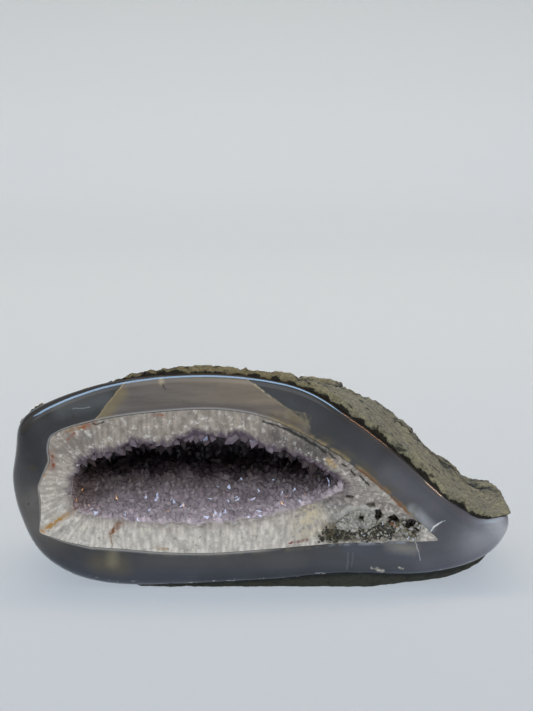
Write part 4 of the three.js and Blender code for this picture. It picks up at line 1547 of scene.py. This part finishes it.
class GeodeColours(bpy.types.PropertyGroup):
    agate: colour_property("Agate", "Lighter clouds of the agate", "#424346")
    agate_dark: colour_property("Dark agate", "Darker clouds of the agate", "#2a2b2e")
    quartz: colour_property("Quartz", "White quartz low on the cut face", "#e0dad1")
    quartz_grey: colour_property("Grey quartz", "Clearer quartz high on the cut face", "#b0a69b")
    violet: colour_property("Violet", "Quartz that turns to amethyst by the mouth", "#58475a")
    crust: colour_property("Crust", "Olive of the basalt crust", "#9b967b")
    crust_grey: colour_property("Grey crust", "Greyer parts of the basalt crust", "#898673")
    crust_tan: colour_property("Tan crust", "Yellowish flakes on the stone's top", "#8d7f5b")
    floor: colour_property("Floor", "Paper that the stone stands on", "#60676f")


class GeodeSizes(bpy.types.PropertyGroup):
    relief: FloatProperty(name="Rind relief", description="Height of the rind's roughness",
                          default=1.5 * MM, min=0, unit="LENGTH")
    spacing: FloatProperty(name="Crystal spacing", description="Distance between points on the cavity floor",
                           default=2.5 * MM, min=1 * MM, unit="LENGTH")
    seed: IntProperty(name="Seed", description="Start of the random draws", default=7, min=0)


class GeodeStudio(bpy.types.PropertyGroup):
    overhead: FloatProperty(name="Overhead light", description="Power of the wide light above the stone",
                            default=12.0, min=0, unit="POWER")
    strip: FloatProperty(name="Strip light", description="Power of the long light that only reflects",
                         default=55.0, min=0, unit="POWER")
    glints: FloatProperty(name="Windows", description="Power of the lights that only glint on crystals",
                          default=42.0, min=0, unit="POWER")
    paper: FloatProperty(name="Paper light", description="Strength of the even light on the paper only",
                         default=9.5, min=0)
    lamp: FloatProperty(name="Warm lamps", description="Power of each small warm lamp at the right",
                        default=0.5, min=0, unit="POWER")
    backdrop: FloatProperty(name="Backdrop light", description="Power of the light on the paper behind",
                            default=150.0, min=0, unit="POWER")
    room: FloatProperty(name="Room light", description="Strength of the light from all round",
                        default=0.58, min=0)
    lens: FloatProperty(name="Lens", description="Focal length of the camera in millimetres",
                        default=65.5, min=10)


class GeodeSettings(bpy.types.PropertyGroup):
    colours: PointerProperty(type=GeodeColours)
    sizes: PointerProperty(type=GeodeSizes)
    studio: PointerProperty(type=GeodeStudio)


# Operators

class GEODE_OT_stage(bpy.types.Operator):
    """Makes the paper sweep, the lights, the room and the camera"""
    bl_idname = "geode.stage"
    bl_label = "Stage"

    def execute(self, context):
        settings = context.scene.geode
        sheet = paper_sweep(settings.colours.floor)
        lights(settings.studio, sheet)
        camera(settings.studio.lens)
        return {"FINISHED"}


class GEODE_OT_rind(bpy.types.Operator):
    """Makes the rough basalt rind round the agate"""
    bl_idname = "geode.rind"
    bl_label = "Basalt rind"

    def execute(self, context):
        settings = context.scene.geode
        rows, contact, relief, crack = rind_rows(settings.sizes.relief)
        bm = skin(rows, {"contact": contact, "relief": relief, "crack": crack})
        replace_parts(make_piece("rind_crust", bm, basalt_crust(settings.colours)), "basalt_rind")
        return {"FINISHED"}


class GEODE_OT_agate(bpy.types.Operator):
    """Makes the polished agate band with its rounded lip"""
    bl_idname = "geode.agate"
    bl_label = "Agate band"

    def execute(self, context):
        rows, band = agate_rows()
        bm = skin(rows, {"band": band})
        material = polished_agate(context.scene.geode.colours)
        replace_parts(make_piece("polished_agate", bm, material), "agate_band")
        return {"FINISHED"}


class GEODE_OT_quartz(bpy.types.Operator):
    """Makes the quartz lining with its pocket and the wall of the cavity"""
    bl_idname = "geode.quartz"
    bl_label = "Quartz lining"

    def execute(self, context):
        rows, rim, first_cavity = lining()
        inside = np.zeros(rows.shape[:2])
        inside[first_cavity:] = 1
        marks = {"rim": rim, "shade": shade_and_violet(rows), "sunken": sunkenness(rows, first_cavity),
                 "grain": grain(rows), "fan": in_fan(rows).astype(float),
                 "pocket": in_pocket(rows, first_cavity), "inside": inside}
        material = columnar_quartz(context.scene.geode.colours)
        piece = make_piece("quartz_lining", skin(rows, marks), material)
        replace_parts(piece, "amethyst_druse")
        return {"FINISHED"}


class GEODE_OT_points(bpy.types.Operator):
    """Grows the amethyst points on the wall of the cavity: pale on its floor, deep violet above and behind"""
    bl_idname = "geode.points"
    bl_label = "Amethyst points"

    def execute(self, context):
        sizes = context.scene.geode.sizes
        rows, _, first_cavity = lining()
        wall = rows[first_cavity:]
        inward = normals_of(wall, cavity_middle())
        behind = wall[:, :, 1] - CUT > SAW_CLEAR
        floor = (shade_and_violet(wall) < FLOOR_DARK) & (wall[:, :, 2] < FLOOR_Z)
        draws = np.random.default_rng(sizes.seed)
        pale = Growth(sizes.spacing, mm(1.3, 2.4), mm(1.2, 2.9), tilt=math.radians(36), taper=1.2)
        deep = Growth(sizes.spacing, mm(1.7, 2.8), mm(2.2, 4.6), tilt=math.radians(20))
        grow("pale_points", wall, inward, floor & behind, pale, draws, clear_crystal(PALE_AMETHYST))
        grow("deep_points", wall, inward, ~floor & behind, deep, draws, clear_crystal(DEEP_AMETHYST))
        return {"FINISHED"}


class GEODE_OT_teeth(bpy.types.Operator):
    """Grows the sawn points round the mouth of the cavity, long ones on its upper lip and short ones below"""
    bl_idname = "geode.teeth"
    bl_label = "Mouth points"

    def execute(self, context):
        draws = np.random.default_rng(context.scene.geode.sizes.seed + 2)
        rows, _, first_cavity = lining()
        stations = np.arange(0, INNER_STATIONS, TOOTH_STEP)
        stations = stations + draws.integers(0, TOOTH_STEP, len(stations))
        stations = stations[inner_rays().way[stations, 2] > TOOTH_LOWEST]
        way = inner_rays().way[stations]
        upper = smoothstep(way[:, 2], *TOOTH_UPPER)
        places = rows[first_cavity - 1, stations] + way * TOOTH_ROOT
        places[:, 1] = CUT + draws.uniform(*TOOTH_DEPTH, len(stations))
        teeth = Growth(0, mm(1.4, 3.0), mm(3.0, 8.6), tilt=math.radians(16), taper=2.2)
        bm = grown(places, TOOTH_LEAN - way, teeth, draws, mix(*TOOTH_SCALE, upper))
        material = clear_crystal(SAWN_AMETHYST)
        lit_crystals(make_piece("mouth_points", sawn(bm), material, smooth=False))
        return {"FINISHED"}


class GEODE_OT_pocket(bpy.types.Operator):
    """Grows the small white crystals and the dark grains in the open pocket beside the mouth"""
    bl_idname = "geode.pocket"
    bl_label = "Pocket crystals"

    def execute(self, context):
        draws = np.random.default_rng(context.scene.geode.sizes.seed + 1)
        rows, _, first_cavity = lining()
        face = rows[len(WALL_DEPTHS):first_cavity]
        normals = normals_of(face)
        outward = -np.abs(normals) * np.array([0, 1, 0]) + normals * np.array([1, 0, 1])
        low = from_line(face, DARK_LINE) + field(face, DARK_RAGGED_SIZE, 2) * DARK_RAGGED < DARK_WIDTH
        near = from_line(face, POCKET_LINE) < POCKET_WIDTH
        near &= (face[:, :, 2] < WHITE_BELOW) & (face[:, :, 0] > WHITE_FROM)
        white = Growth(0.9 * MM, mm(0.35, 0.95), mm(0.3, 1.1), tilt=math.radians(45))
        black = Growth(0.6 * MM, mm(0.3, 0.85), mm(0.2, 0.8), tilt=math.radians(55))
        grow("pocket_quartz", face, outward, near, white, draws, clear_crystal(POCKET_QUARTZ), WHITE_TRIES)
        grow("pocket_grains", face, outward, low, black, draws, pocket_grain(), GRAIN_TRIES)
        needles = sawn(fan_needles(draws))
        make_piece("fan_needles", needles, clear_crystal(FIBROUS_QUARTZ), smooth=False)
        return {"FINISHED"}


OPERATORS = (GEODE_OT_stage, GEODE_OT_rind, GEODE_OT_agate, GEODE_OT_quartz, GEODE_OT_points, GEODE_OT_teeth,
             GEODE_OT_pocket)


class GEODE_PT_panel(bpy.types.Panel):
    """Lists the steps that build the geode"""
    bl_idname = "GEODE_PT_panel"
    bl_label = "Amethyst geode half"
    bl_space_type = "VIEW_3D"
    bl_region_type = "UI"
    bl_category = "Geode"

    def draw(self, context):
        settings = context.scene.geode
        for group in (settings.colours, settings.sizes, settings.studio):
            for name in group.__annotations__:
                self.layout.prop(group, name)
        for operator in OPERATORS:
            self.layout.operator(operator.bl_idname)


CLASSES = (GeodeColours, GeodeSizes, GeodeStudio, GeodeSettings, *OPERATORS, GEODE_PT_panel)


def register():
    for cls in CLASSES:
        bpy.utils.register_class(cls)
    bpy.types.Scene.geode = PointerProperty(type=GeodeSettings)


def unregister():
    del bpy.types.Scene.geode
    for cls in reversed(CLASSES):
        bpy.utils.unregister_class(cls)


def main():
    register()
    bpy.ops.geode.stage()
    bpy.ops.geode.rind()
    bpy.ops.geode.agate()
    bpy.ops.geode.quartz()
    bpy.ops.geode.points()
    bpy.ops.geode.teeth()
    bpy.ops.geode.pocket()


if __name__ == "__main__":
    main()
